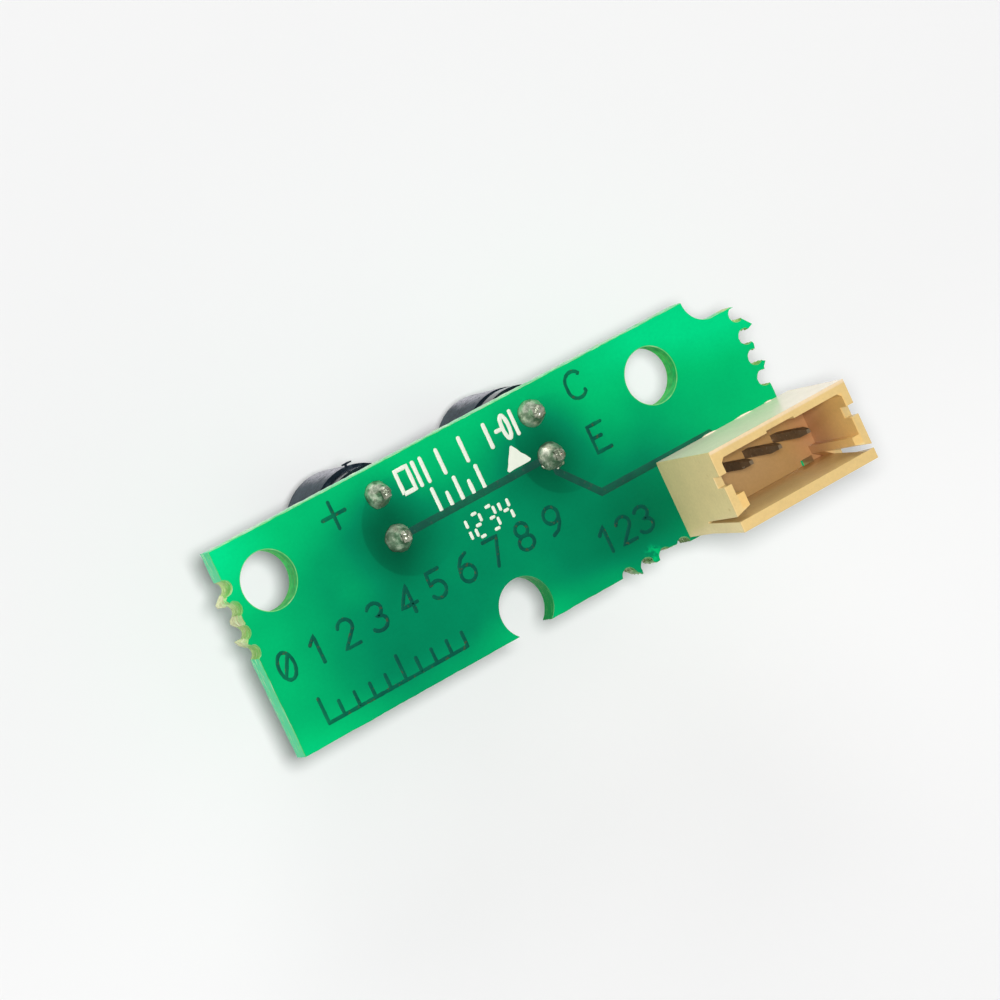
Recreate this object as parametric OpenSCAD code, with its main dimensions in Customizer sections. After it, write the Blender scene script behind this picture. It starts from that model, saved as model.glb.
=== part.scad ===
// Optical sensor board of a bill validator: an infrared emitter and a receiver
// stand on the back of a small drilled board, a shrouded plug header on its front.
// The origin is midway between the two fixing holes, on the front face. +Z points
// out of the front (soldered) face, +X along the board towards the header.

/* [Board] */
// Width of the board
board_w = 11.8; // [11.4:0.1:14]
// Finished thickness, solder masks included
board_t = 1.2; // [0.8:0.1:1.6]
// Thickness of each solder mask over the bare laminate
mask_t = 0.06; // [0.05:0.01:0.08]
// Thickness of the copper foil
copper_t = 0.035; // [0.018:0.001:0.04]
// Thickness of the white ink
ink_t = 0.02; // [0.01:0.01:0.05]

/* [Fixing holes] */
// Distance between the fixing holes
hole_spacing = 25.4; // [24.6:0.1:26]
// Diameter of a fixing hole
hole_d = 3.2; // [2.6:0.1:3.4]
// From the left edge to the left hole's centre
hole_inset_x = 2.4; // [2.2:0.1:3]
// From the right hole's centre to the right edge
hole_to_right = 6.6; // [5.8:0.1:9]
// From the top edge to both holes' centres
hole_inset_y = 2.75; // [2.6:0.05:3]
// Bare ring that the mask leaves round a fixing hole
hole_mask_gap = 0.11; // [0.05:0.01:0.3]

/* [Cut-outs in the edge] */
// Diameter of the locating notch in the bottom edge
notch_d = 3.3; // [3:0.1:3.6]
// Height of the notch's centre above the bottom edge
notch_up = 1.25; // [1:0.05:1.4]
// Length of the step cut from the top right corner
step_l = 3.1; // [2.5:0.1:3.6]
// Depth of that step from the top edge
step_w = 1.53; // [1.2:0.01:1.7]
// Radius of the step's inner corner
step_r = 1.5; // [0.5:0.1:1.5]

/* [Break-off rows] */
// Diameter of a break-off hole
bite_d = 0.9; // [0.8:0.05:1]
// Pitch of the break-off holes
bite_pitch = 1.27; // [1.2:0.01:1.3]
// How far the left and bottom rows' centres lie outside the edge
bite_out = 0.08; // [0:0.01:0.15]
// How far the right row's centres lie inside the edge
bite_in = 0.2; // [0:0.01:0.25]
// From the top edge to the first break-off hole of the left row
side_bite_drop = 2.07; // [2:0.01:2.2]
// From the step's edge down to the first break-off hole of the right row
step_bite_gap = 0.54; // [0.52:0.01:0.7]
// From the right edge to the nearest hole of the bottom row
bottom_bite_inset = 9.1; // [8.9:0.05:9.6]

/* [Plug header] */
// Length of the header's housing
header_w = 9.4; // [9.2:0.1:9.8]
// Depth of the housing across the board
header_d = 4.5; // [4.3:0.1:4.8]
// Height of the housing over the board
header_h = 5.9; // [5.4:0.1:7]
// How far the housing overhangs the right edge
header_overhang = 0.8; // [0.4:0.1:1]
// From the bottom edge to the housing
header_inset = 0.2; // [0.1:0.05:0.3]
// Thickness of the housing's floor
header_floor = 1.2; // [0.8:0.1:1.6]
// Thickness of the two long walls
long_wall = 0.6; // [0.4:0.05:0.7]
// Thickness of the two short walls
short_wall = 0.5; // [0.4:0.05:0.6]
// Pitch of the pins
pin_pitch = 2; // [1.8:0.1:2.2]
// Side of a square pin
pin_w = 0.45; // [0.4:0.05:0.6]
// From the housing's middle line to the pin row
pin_row_off = 0.5; // [0.4:0.05:0.6]
// How far the pin tips lie below the rim
pin_tip_drop = 1; // [0.4:0.1:1.4]
// Length of the taper at a pin's tip
pin_taper = 0.75; // [0.4:0.05:0.9]
// How far a pin stands out of the board's back
pin_tail = 1.3; // [0.9:0.1:1.8]

/* [Header details] */
// Width of the notch in each short wall's rim
rim_notch_w = 0.65; // [0.4:0.05:0.8]
// Depth of that notch
rim_notch_h = 0.7; // [0.4:0.1:1.2]
// How far the guide rib stands in from a short wall
rib_in = 0.5; // [0.3:0.05:0.6]
// Length of the guide rib along the short wall
rib_l = 0.8; // [0.6:0.05:0.9]
// Length of the same rib on the overhanging end
rib_l_over = 0.45; // [0.4:0.05:0.9]
// Width of the slit that frees the outer long wall, at its bottom
slit_w = 0.1; // [0.08:0.02:0.16]
// How far the slit cuts into the overhanging end
slit_w_over = 0.02; // [0.02:0.02:0.16]
// Depth of the slit from the rim
slit_h = 3.3; // [2:0.1:4]
// How far the freed long wall leans out at the rim
wall_lean = 0.22; // [0.1:0.02:0.3]
// How much wider the slit is at the bottom of the overhanging end
slit_foot = 0.35; // [0.2:0.05:0.4]
// From the slit to the guide rib's straight part
rib_slope = 0.26; // [0.1:0.02:0.3]
// Width of the key recess in the inner long wall
key_w = 1.9; // [1.2:0.1:2.4]
// Depth of the key recess
key_deep = 0.12; // [0.06:0.02:0.2]
// Length of each coring hole in the floor
core_l = 0.8; // [0.5:0.1:1]
// How far a coring hole reaches under the outer long wall
core_under = 0.25; // [0:0.05:0.35]
// Width of each coring hole
core_w = 0.3; // [0.2:0.05:0.4]

/* [Light pair] */
// Distance between the emitter and the receiver
opto_spacing = 10.16; // [9:0.02:11]
// Diameter of a lens body
body_d = 5; // [4.6:0.1:5.4]
// Diameter of the flange at a body's base
flange_d = 5.8; // [5.6:0.1:6.2]
// Thickness of the flange
flange_t = 1; // [0.8:0.1:1.4]
// Height from the flange's base to the tip of the dome
body_h = 8.6; // [7.6:0.1:9.6]
// How far the flange's flat lies from the lens axis
flat_off = 2.5; // [2.5:0.05:2.7]
// Gap between the board's back and the flange
standoff = 0.3; // [0.2:0.05:1]
// Pitch of the two leads
lead_pitch = 2.54; // [2.4:0.02:2.7]
// Side of a square lead
lead_w = 0.5; // [0.4:0.05:0.55]
// How far a clipped lead stands over the front face
lead_over = 1.1; // [0.9:0.1:1.5]
// Depth of the lead frame inside a body
frame_h = 3.9; // [3.5:0.1:4.4]

/* [Sleeves] */
// Length of a shading sleeve
sleeve_l = 3.8; // [3:0.1:4.4]
// Play between a sleeve and the body in it
sleeve_gap = 0.05; // [0.02:0.01:0.1]
// Wall of the emitter's sleeve
emitter_sleeve_wall = 0.55; // [0.4:0.05:0.6]
// Wall of the receiver's sleeve
receiver_sleeve_wall = 0.4; // [0.3:0.05:0.6]
// Gap from the flange to the emitter's sleeve
emitter_sleeve_off = 0.2; // [0:0.05:0.6]
// Gap from the flange to the receiver's sleeve
receiver_sleeve_off = 0.6; // [0:0.05:0.8]

/* [Chips] */
// Side of the emitter's chip
emitter_die_w = 0.35; // [0.25:0.05:0.45]
// Side of the receiver's chip
receiver_die_w = 0.6; // [0.4:0.05:0.7]
// Thickness of a chip
die_t = 0.15; // [0.1:0.01:0.2]
// Diameter of the reflector cup's mouth
cup_d = 0.9; // [0.75:0.05:1]
// Depth of the reflector cup
cup_deep = 0.3; // [0.2:0.05:0.4]
// Diameter of a bond wire
wire_d = 0.05; // [0.04:0.01:0.08]

/* [Solder and copper] */
// Play between a lead's corners and its plated hole
lead_play = 0.12; // [0.08:0.01:0.2]
// Wall of a plated hole
plating_t = 0.03; // [0.02:0.01:0.04]
// Width of the copper ring round a plated hole
pad_ring = 0.22; // [0.2:0.01:0.35]
// Gap from a pad to the mask round it
pad_mask_gap = 0.05; // [0.02:0.01:0.1]
// Height of a solder cone
solder_h = 0.8; // [0.5:0.05:0.85]
// Height of the fillet on a joint's far side
fillet_h = 0.12; // [0.05:0.01:0.15]
// Width of a track
track_w = 0.38; // [0.3:0.02:0.5]

/* [Marks] */
// Stroke of the etched marks
mark_stroke = 0.2; // [0.14:0.02:0.24]
// Height of the scale's numerals
numeral_h = 1.6; // [1.2:0.1:1.7]
// Pitch of the scale's numerals
numeral_pitch = 1.94; // [1.7:0.02:2]
// Height of the short code of dashed numerals
code_h = 1.3; // [1.2:0.1:1.6]

/* [Hidden] */
$fn = 96;

// Board's corners and layers
board_x0 = -hole_spacing / 2 - hole_inset_x;
board_x1 = hole_spacing / 2 + hole_to_right;
board_y1 = hole_inset_y;
board_y0 = board_y1 - board_w;
laminate_t = board_t - 2 * mask_t;
front_foil_z = -mask_t;
back_foil_z = -board_t + mask_t - copper_t;
cut = 0.01;

// Break-off rows: four holes, and how far each broken web stands out and leans,
// as shares of the holes' diameter
bite_count = 4;
right_webs = [[0.56, 0.24], [0.56, 0.17], [0.14, -0.13], [0.37, -0.22]];
left_webs = [[0.06, 0], [0.51, 0.07], [0.11, -0.11], [0.47, -0.28]];
bottom_webs = [[0.04, 0], [0.11, 0], [0.18, -0.07], [0.32, 0.14]];
web_w = bite_d * 0.7;
web_tip = bite_d * 0.08;
left_bite_y = board_y1 - side_bite_drop;
right_bite_y = board_y1 - step_w - step_bite_gap;

// Header's box
header_x1 = board_x1 + header_overhang;
header_x0 = header_x1 - header_w;
header_y0 = board_y0 + header_inset;
header_y1 = header_y0 + header_d;
header_mid_x = (header_x0 + header_x1) / 2;
pin_y = (header_y0 + header_y1) / 2 + pin_row_off;
pin_tip_z = header_h - pin_tip_drop;
pin_point_h = pin_w;
pin_point_w = pin_w / 2;
corner_cut = short_wall * 0.45;
end_wall_x = -header_w / 2 + short_wall;
inner_y0 = -header_d / 2 + long_wall;
rib_y0 = inner_y0 + slit_w + rib_slope;
core_from_end = short_wall + rib_in * 1.1;

// Places of the light pair and of everything soldered
emitter_x = -opto_spacing / 2;
receiver_x = opto_spacing / 2;
opto_y = 0;
seat_z = -board_t - standoff;
lead_tip = standoff + board_t + lead_over;
lead_points = [for (x = [emitter_x, receiver_x], s = [1, -1]) [x, opto_y + s * lead_pitch / 2]];
pin_points = [for (i = [-1:1]) [header_mid_x + i * pin_pitch, pin_y]];
joint_points = concat(lead_points, pin_points);
post_w = max(lead_w, pin_w);
plated_d = post_w * sqrt(2) + 2 * lead_play;
drill_d = plated_d + 2 * plating_t;
pad_d = drill_d + 2 * pad_ring;

// Lead frame inside a body
flag_t = lead_w * 0.9;
flag_reach = lead_w * 1.1;
paddle_h = cup_deep + die_t + wire_d;
wire_reach = lead_pitch / 2 - flag_reach * 0.68;
wire_sink = die_t / 2;

// Tracks
track_bend_y = header_y1 - track_w * 0.2;
track_bend_w = header_w * 0.21;
drop_x = pin_points[1][0];
back_bend_w = lead_pitch * 0.6;
out_x = emitter_x - lead_pitch * 0.55;
out_y = header_y1 - track_w * 2;
side_x = receiver_x + lead_pitch * 0.55;
side_y = header_y1 + track_w * 1.5;

// Marks
numeral_aspect = 0.55;
plus_x = emitter_x - numeral_h * 1.7;
terminal_x = receiver_x + numeral_h * 1.97;
mark_y = numeral_h * 0.87;
terminal_drop = numeral_h * 1.85;
scale_x = board_x0 + numeral_h * 0.5;
scale_y = board_y0 + numeral_h * 2.31;
scale_count = 10;
comb_x = board_x0 + numeral_h * 1.25;
comb_y = board_y0 + numeral_h * 0.47;
comb_pitch = numeral_pitch * 0.515;
comb_count = 9;
socket_x = receiver_x + numeral_h * 0.26;
socket_y = board_y0 + numeral_h * 0.87;
socket_pitch = numeral_pitch * 0.71;
ink_tilt = -2.6;
code_pitch = code_h * 0.65;
code_x = emitter_x + code_h * 3.08;
code_y = -code_h * 2.38;
tally_x = emitter_x + code_h * 1.12;
tally_y = code_h * 0.57;
tally_steps = [1.77, 2.69, 3.77, 5.31];
dash_x = emitter_x + code_h * 2.29;
dash_y = -code_h * 0.75;
pointer_x = receiver_x - code_h * 1.5;
pointer_y = -code_h * 0.25;

// ---- shared shapes ----

// One row of break-off holes along +X, seen with the outside at +Y
module bite_row(first, step, out) {
    for (i = [0:bite_count - 1])
        translate([first + i * step, out])
            circle(d = bite_d);
}

// The webs that broke between those holes: reach is how far, lean is where the tip is
module web_row(first, step, webs) {
    for (i = [0:len(webs) - 1])
        translate([first + (i - 0.5) * step, 0])
            polygon([
                [-web_w / 2, -bite_d / 2], [web_w / 2, -bite_d / 2], [web_w / 2, 0],
                [webs[i][1] * bite_d + web_tip, webs[i][0] * bite_d],
                [webs[i][1] * bite_d - web_tip, webs[i][0] * bite_d], [-web_w / 2, 0]
            ]);
}

module on_right() {
    translate([board_x1, 0])
        rotate(-90)
            children();
}

module on_left() {
    translate([board_x0, 0])
        mirror([1, 0])
            rotate(-90)
                children();
}

module on_bottom() {
    translate([0, board_y0])
        mirror([0, 1])
            children();
}

// What the step takes from the top right corner, with one round inner corner
module corner_step() {
    r = min(step_r, step_w, step_l);
    translate([board_x1 - step_l, board_y1 - step_w])
        difference() {
            square([step_l + 1, step_w + 1]);
            difference() {
                square(r);
                translate([r, r])
                    circle(r = r);
            }
        }
}

// The board's outline with its notch, step and break-off rows
module outline() {
    bottom_first = board_x1 - bottom_bite_inset;
    difference() {
        union() {
            translate([board_x0, board_y0])
                square([board_x1 - board_x0, board_w]);
            on_right() web_row(-right_bite_y, bite_pitch, right_webs);
            on_left() web_row(-left_bite_y, bite_pitch, left_webs);
            on_bottom() web_row(bottom_first, -bite_pitch, bottom_webs);
        }
        corner_step();
        translate([0, board_y0 + notch_up])
            circle(d = notch_d);
        on_right() bite_row(-right_bite_y, bite_pitch, -bite_in);
        on_left() bite_row(-left_bite_y, bite_pitch, bite_out);
        on_bottom() bite_row(bottom_first, -bite_pitch, bite_out);
    }
}

module fixing_holes(d) {
    for (s = [-1, 1])
        translate([s * hole_spacing / 2, 0])
            circle(d = d);
}

module at_joints() {
    for (p = joint_points)
        translate(p)
            children();
}

// A track of straight runs; each run is a little long so that the corners close
module track(points) {
    for (i = [0:len(points) - 2]) {
        run = points[i + 1] - points[i];
        translate(points[i])
            rotate(atan2(run[1], run[0]))
                translate([-track_w * 0.2, -track_w / 2])
                    square([norm(run) + track_w * 0.4, track_w]);
    }
}

module front_tracks() {
    e = lead_points[3];
    track([lead_points[1], e]);
    track([
        e, [e[0], track_bend_y + track_bend_w], [e[0] + track_bend_w, track_bend_y],
        [drop_x - (track_bend_y - pin_y), track_bend_y], [drop_x, pin_y]
    ]);
}

module back_tracks() {
    a = lead_points[0];
    c = lead_points[2];
    p = pin_points[0];
    q = pin_points[2];
    track([
        a, [out_x, a[1] - (a[0] - out_x)], [out_x, out_y + back_bend_w], [out_x + back_bend_w, out_y],
        [p[0] - (out_y - p[1]), out_y], p
    ]);
    track([
        c, [side_x, c[1] - (side_x - c[0])], [side_x, side_y + back_bend_w],
        [side_x + back_bend_w, side_y],
        [q[0] - (side_y - q[1]), side_y], q
    ]);
}

module foil(z) {
    translate([0, 0, z])
        linear_extrude(copper_t)
            difference() {
                union() {
                    at_joints() circle(d = pad_d);
                    children();
                }
                at_joints() circle(d = drill_d);
            }
}

// ---- numerals and marks, all from straight strokes ----

// Which of the seven strokes each numeral has: top, upper right, lower right,
// bottom, lower left, upper left, middle
strokes = [
    [1, 1, 1, 1, 1, 1, 0], [0, 1, 1, 0, 0, 0, 0], [1, 1, 0, 1, 1, 0, 1],
    [1, 1, 1, 1, 0, 0, 1], [0, 1, 1, 0, 0, 1, 1], [1, 0, 1, 1, 0, 1, 1],
    [1, 0, 1, 1, 1, 1, 1], [1, 1, 1, 0, 0, 0, 0], [1, 1, 1, 1, 1, 1, 1],
    [1, 1, 1, 1, 0, 1, 1]
];

module bar(x, y, w, h) {
    translate([x, y])
        square([w, h]);
}

// A numeral of height h, its lower left corner at the origin; gap opens its corners
module numeral(n, h, gap) {
    w = h * numeral_aspect;
    s = mark_stroke;
    half = h / 2;
    on = strokes[n];
    if (on[0]) bar(gap, h - s, w - 2 * gap, s);
    if (on[1]) bar(w - s, half + gap, s, half - 2 * gap);
    if (on[2]) bar(w - s, gap, s, half - 2 * gap);
    if (on[3]) bar(gap, 0, w - 2 * gap, s);
    if (on[4]) bar(0, gap, s, half - 2 * gap);
    if (on[5]) bar(0, half + gap, s, half - 2 * gap);
    if (on[6]) bar(gap, half - s / 2, w - 2 * gap, s);
}

module plus_mark(size) {
    bar(-size / 2, -mark_stroke / 2, size, mark_stroke);
    bar(-mark_stroke / 2, -size / 2, mark_stroke, size);
}

module letter_c(h) {
    w = h * numeral_aspect;
    bar(0, 0, mark_stroke, h);
    bar(0, 0, w, mark_stroke);
    bar(0, h - mark_stroke, w, mark_stroke);
}

module letter_e(h) {
    letter_c(h);
    bar(0, (h - mark_stroke) / 2, h * numeral_aspect * 0.85, mark_stroke);
}

module etched_plan() {
    translate([plus_x, mark_y])
        plus_mark(numeral_h);
    translate([terminal_x - numeral_h * numeral_aspect / 2, mark_y - numeral_h / 2])
        letter_c(numeral_h);
    translate([terminal_x - numeral_h * numeral_aspect / 2, mark_y - terminal_drop - numeral_h / 2])
        letter_e(numeral_h);
    for (i = [0:scale_count - 1])
        translate([scale_x + i * numeral_pitch, scale_y])
            numeral(i, numeral_h, 0);
    for (i = [0:comb_count])
        translate([comb_x + i * comb_pitch, comb_y])
            bar(0, 0, mark_stroke, i % 5 == 0 ? numeral_h : numeral_h * 0.6);
    for (i = [1:3])
        translate([socket_x + (i - 1) * socket_pitch, socket_y])
            numeral(i, numeral_h, 0);
}

module ink_plan() {
    // Four dashed numerals
    translate([code_x, code_y])
        rotate(ink_tilt)
            for (i = [0:3])
                translate([i * code_pitch, 0])
                    numeral(i + 1, code_h, mark_stroke * 0.6);
    // Pointer beside the receiver's second joint
    translate([pointer_x, pointer_y])
        scale(code_h)
            polygon([[-0.58, -0.46], [0.65, -0.48], [0.02, 0.47]]);
    // An open box, four tally strokes and a dash
    translate([tally_x, tally_y])
        rotate(ink_tilt) {
            difference() {
                square(code_h);
                translate([mark_stroke, mark_stroke])
                    square(code_h - 2 * mark_stroke);
            }
            for (n = tally_steps)
                bar(n * code_h, 0, mark_stroke, code_h);
            bar(code_h * 4.3, (code_h - mark_stroke) / 2, code_h * 0.46, mark_stroke);
        }
    // A row of short strokes below them
    translate([dash_x, dash_y])
        rotate(ink_tilt)
            for (i = [0:4])
                bar(i * code_h * 0.55, i % 2 * code_h / 2, mark_stroke, code_h / (1 + i % 2));
}

// ---- board ----

module board_laminate() {
    color("#c9dba0")
        translate([0, 0, -board_t + mask_t])
            linear_extrude(laminate_t)
                difference() {
                    outline();
                    fixing_holes(hole_d);
                    at_joints() circle(d = drill_d);
                }
}

module mask_plan() {
    difference() {
        outline();
        fixing_holes(hole_d + 2 * hole_mask_gap);
        at_joints() circle(d = pad_d + 2 * pad_mask_gap);
    }
}

module solder_mask_front() {
    color("#02b070")
        difference() {
            translate([0, 0, -mask_t])
                linear_extrude(mask_t)
                    mask_plan();
            translate([0, 0, -mask_t - cut])
                linear_extrude(copper_t + cut) {
                    front_tracks();
                    etched_plan();
                }
        }
}

module solder_mask_back() {
    color("#02b070")
        difference() {
            translate([0, 0, -board_t])
                linear_extrude(mask_t)
                    mask_plan();
            translate([0, 0, back_foil_z])
                linear_extrude(copper_t + cut)
                    back_tracks();
        }
}

module copper_front() {
    color("#b87333")
        foil(front_foil_z) front_tracks();
}

module copper_back() {
    color("#b87333")
        foil(back_foil_z) back_tracks();
}

// Seven plated barrels, from foil to foil
module plated_holes() {
    color("#b87333")
        translate([0, 0, back_foil_z])
            linear_extrude(laminate_t + 2 * copper_t)
                at_joints()
                    difference() {
                        circle(d = drill_d);
                        circle(d = plated_d);
                    }
}

module etched_marks() {
    color("#0a5e49")
        translate([0, 0, front_foil_z])
            linear_extrude(copper_t)
                etched_plan();
}

module ink_marks() {
    color("#dbdccf")
        linear_extrude(ink_t)
            ink_plan();
}

// ---- plug header ----

// The cavity at one end, on the -X side of the housing's middle
module header_end_cavity(rib) {
    inner_y1 = header_d / 2 - long_wall;
    polygon([
        [0, inner_y1], [end_wall_x + corner_cut, inner_y1], [end_wall_x, inner_y1 - corner_cut],
        [end_wall_x, rib_y0 + rib], [end_wall_x + rib_in, rib_y0 + rib],
        [end_wall_x + rib_in, rib_y0], [end_wall_x, inner_y0], [0, inner_y0]
    ]);
}

// What is cut off one end above the slit's bottom: the slit and the rib's slanted foot
module header_end_slit(gap) {
    edge = -header_w / 2;
    polygon([
        [edge - 1, inner_y0 - long_wall - 1], [0, inner_y0 - long_wall - 1], [0, inner_y0 + slit_w / 2],
        [end_wall_x + rib_in, rib_y0], [edge, inner_y0 + gap], [edge - 1, inner_y0 + gap]
    ]);
}

// The outer long wall above the slit's bottom, leaning out, seen along X
module leaning_wall(foot) {
    low = header_h - slit_h;
    polygon([
        [inner_y0 - long_wall, low - header_floor / 2], [inner_y0 - foot, low - header_floor / 2],
        [inner_y0 - foot, low], [inner_y0 - wall_lean, header_h],
        [inner_y0 - long_wall - wall_lean, header_h], [inner_y0 - long_wall, low]
    ]);
}

// A profile in Y and Z, as long as given along X from x0
module along_x(x0, length) {
    translate([x0, 0, 0])
        rotate([90, 0, 90])
            linear_extrude(length)
                children();
}

module header_housing() {
    half_l = header_w / 2;
    slit_z = header_h - slit_h;
    color("#e6cf98")
        translate([header_mid_x, (header_y0 + header_y1) / 2, 0]) {
            difference() {
                translate([-half_l, -header_d / 2, 0])
                    cube([header_w, header_d, header_h]);
                translate([0, 0, header_floor])
                    linear_extrude(header_h) {
                        header_end_cavity(rib_l);
                        mirror([1, 0]) header_end_cavity(rib_l_over);
                        // Key recess in the inner long wall
                        translate([-key_w / 2, 0])
                            square([key_w, header_d / 2 - long_wall + key_deep]);
                    }
                translate([0, 0, slit_z])
                    linear_extrude(header_h) {
                        header_end_slit(slit_w);
                        mirror([1, 0]) header_end_slit(slit_w_over);
                    }
                for (s = [-1, 1])
                    scale([s, 1, 1]) {
                        // Notch in the short wall's rim, in line with the pins
                        translate([-half_l - 1, pin_row_off - rim_notch_w / 2, header_h - rim_notch_h])
                            cube([short_wall + 1.1, rim_notch_w, rim_notch_h + 1]);
                        // Coring hole in the floor
                        translate([-half_l + core_from_end, inner_y0 - core_under, -1])
                            cube([core_l, core_w + core_under, header_floor + 1 + corner_cut]);
                    }
                for (i = [-1:1])
                    translate([i * pin_pitch - pin_w / 2, pin_row_off - pin_w / 2, -1])
                        cube([pin_w, pin_w, header_floor + 2]);
            }
            along_x(-half_l, header_w - short_wall) leaning_wall(0);
            along_x(half_l - short_wall * 1.5, short_wall * 1.5) leaning_wall(slit_foot);
        }
}

// A square pin with a four-sided point at its top and at its tail
module header_pin(i) {
    tail_z = -board_t - pin_tail;
    color("#6f6a5c")
        translate([pin_points[i][0], pin_points[i][1], 0]) {
            translate([-pin_w / 2, -pin_w / 2, tail_z + pin_point_h / 2])
                cube([pin_w, pin_w, pin_tip_z - pin_taper - tail_z - pin_point_h / 2]);
            translate([0, 0, pin_tip_z - pin_taper])
                pin_point(pin_taper);
            translate([0, 0, tail_z + pin_point_h / 2])
                mirror([0, 0, 1])
                    pin_point(pin_point_h / 2);
        }
}

// The tapered end of a square pin, cut on four sides
module pin_point(h) {
    side = [[-pin_w / 2, 0], [pin_w / 2, 0], [pin_point_w / 2, h], [-pin_point_w / 2, h]];
    intersection() {
        rotate([90, 0, 0])
            linear_extrude(pin_w, center = true)
                polygon(side);
        rotate([90, 0, 90])
            linear_extrude(pin_w, center = true)
                polygon(side);
    }
}

// ---- solder ----

// One joint: a cone on the wetted side, the filled hole and a small far fillet.
// over and under are the heights on the front and on the back.
module solder_joint(over, under, post) {
    front = front_foil_z + copper_t;
    back = back_foil_z;
    r = pad_d / 2;
    hole_r = plated_d / 2;
    neck_r = post * 0.72;
    difference() {
        rotate_extrude()
            polygon([
                [0, front + over], [neck_r, front + over], [(r + neck_r) / 2, front + over * 0.55],
                [r, front + over * 0.08], [r, front], [hole_r, front], [hole_r, back], [r, back],
                [r, back - under * 0.08], [(r + neck_r) / 2, back - under * 0.55],
                [neck_r, back - under], [0, back - under]
            ]);
        translate([-post / 2, -post / 2, back - under - 1])
            cube([post, post, over + under + board_t + 2]);
    }
}

module lead_solder(pair) {
    color("#aeb5ac")
        for (i = pair)
            translate(lead_points[i])
                solder_joint(solder_h, fillet_h, lead_w);
}

module header_solder() {
    color("#aeb5ac")
        for (p = pin_points)
            translate(p)
                solder_joint(0.01, solder_h, pin_w);
}

// ---- light pair, drawn with the dome upwards and the flange's base at z 0 ----

module in_place(x) {
    translate([x, opto_y, seat_z])
        mirror([0, 0, 1])
            children();
}

module lens_solid() {
    r = body_d / 2;
    difference() {
        rotate_extrude() {
            square([flange_d / 2, flange_t]);
            square([r, body_h - r]);
            translate([0, body_h - r])
                intersection() {
                    circle(r = r);
                    square(r);
                }
        }
        translate([-flange_d, -flat_off - flange_d, -1])
            cube([2 * flange_d, flange_d, flange_t + 1]);
    }
}

// A lead from its clipped tip to the lead frame; side is +1 or -1 along Y
module lead(side) {
    translate([-lead_w / 2, side * lead_pitch / 2 - lead_w / 2, -lead_tip])
        cube([lead_w, lead_w, lead_tip + frame_h]);
}

// The wide end that carries a chip: from the lead to just past the lens axis
module carrier(side, reach, h) {
    y0 = -reach;
    y1 = lead_pitch / 2 + lead_w / 2;
    translate([-lead_w / 2, 0, frame_h - h])
        scale([1, side, 1])
            translate([0, y0, 0])
                cube([lead_w, y1 - y0, h]);
}

// The short flag that the bond wire lands on
module flag(side) {
    y1 = lead_pitch / 2;
    translate([-lead_w / 2, 0, frame_h - flag_t])
        scale([1, side, 1])
            translate([0, y1 - flag_reach, 0])
                cube([lead_w, flag_reach, flag_t]);
}

// A half-round wire from the lens axis to a flag, and straight down at both ends:
// chip_drop to the chip's top, land_drop to the flag
module bond_wire_shape(side, z, chip_drop, land_drop) {
    bend_r = wire_reach / 2;
    translate([0, side * bend_r, z])
        rotate([90, 0, 90])
            rotate_extrude(angle = 180)
                translate([bend_r, 0])
                    circle(d = wire_d, $fn = 16);
    wire_leg(0, z, chip_drop);
    wire_leg(side * wire_reach, z, land_drop);
}

module wire_leg(y, z, drop) {
    if (drop > 0)
        translate([0, y, z - drop])
            cylinder(d = wire_d, h = drop, $fn = 16);
}

// Emitter: the cathode (-Y) has the reflector cup, the anode (+Y) the flag
module cup_cut() {
    translate([0, 0, frame_h - cup_deep])
        cylinder(d1 = cup_d * 0.6, d2 = cup_d, h = cup_deep);
}

module emitter_cathode_shape() {
    difference() {
        union() {
            lead(-1);
            carrier(-1, cup_d * 0.6, paddle_h);
            translate([0, 0, frame_h - paddle_h])
                cylinder(d = cup_d * 1.33, h = paddle_h);
        }
        cup_cut();
    }
}

module emitter_anode_shape() {
    lead(1);
    flag(1);
}

module emitter_chip_shape() {
    translate([-emitter_die_w / 2, -emitter_die_w / 2, frame_h - cup_deep])
        cube([emitter_die_w, emitter_die_w, die_t]);
}

// sink lengthens both ends, for the cut that it makes in the lens
module emitter_wire_shape(sink) {
    bond_wire_shape(1, frame_h, cup_deep - die_t + sink, sink);
}

module emitter_lens() {
    color("#3c4650", 0.85)
        in_place(emitter_x)
            difference() {
                lens_solid();
                emitter_cathode_shape();
                emitter_anode_shape();
                emitter_chip_shape();
                emitter_wire_shape(wire_sink);
            }
}

module emitter_cathode_lead() {
    color("#b9bdb8")
        in_place(emitter_x) emitter_cathode_shape();
}

module emitter_anode_lead() {
    color("#b9bdb8")
        in_place(emitter_x) emitter_anode_shape();
}

module emitter_chip() {
    color("#4a4440")
        in_place(emitter_x) emitter_chip_shape();
}

module emitter_bond_wire() {
    color("#d8b24a")
        in_place(emitter_x) emitter_wire_shape(0);
}

// Receiver: the collector (+Y) carries the chip, the emitter lead (-Y) has the flag
module receiver_collector_shape() {
    lead(1);
    carrier(1, receiver_die_w * 0.7, paddle_h);
}

module receiver_emitter_shape() {
    lead(-1);
    flag(-1);
}

module receiver_chip_shape() {
    translate([-receiver_die_w / 2, -receiver_die_w / 2, frame_h])
        cube([receiver_die_w, receiver_die_w, die_t]);
}

module receiver_wire_shape(sink) {
    bond_wire_shape(-1, frame_h + die_t, sink, die_t + sink);
}

module receiver_lens() {
    color("#22262c", 0.95)
        in_place(receiver_x)
            difference() {
                lens_solid();
                receiver_collector_shape();
                receiver_emitter_shape();
                receiver_chip_shape();
                receiver_wire_shape(wire_sink);
            }
}

module receiver_collector_lead() {
    color("#b9bdb8")
        in_place(receiver_x) receiver_collector_shape();
}

module receiver_emitter_lead() {
    color("#b9bdb8")
        in_place(receiver_x) receiver_emitter_shape();
}

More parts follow.
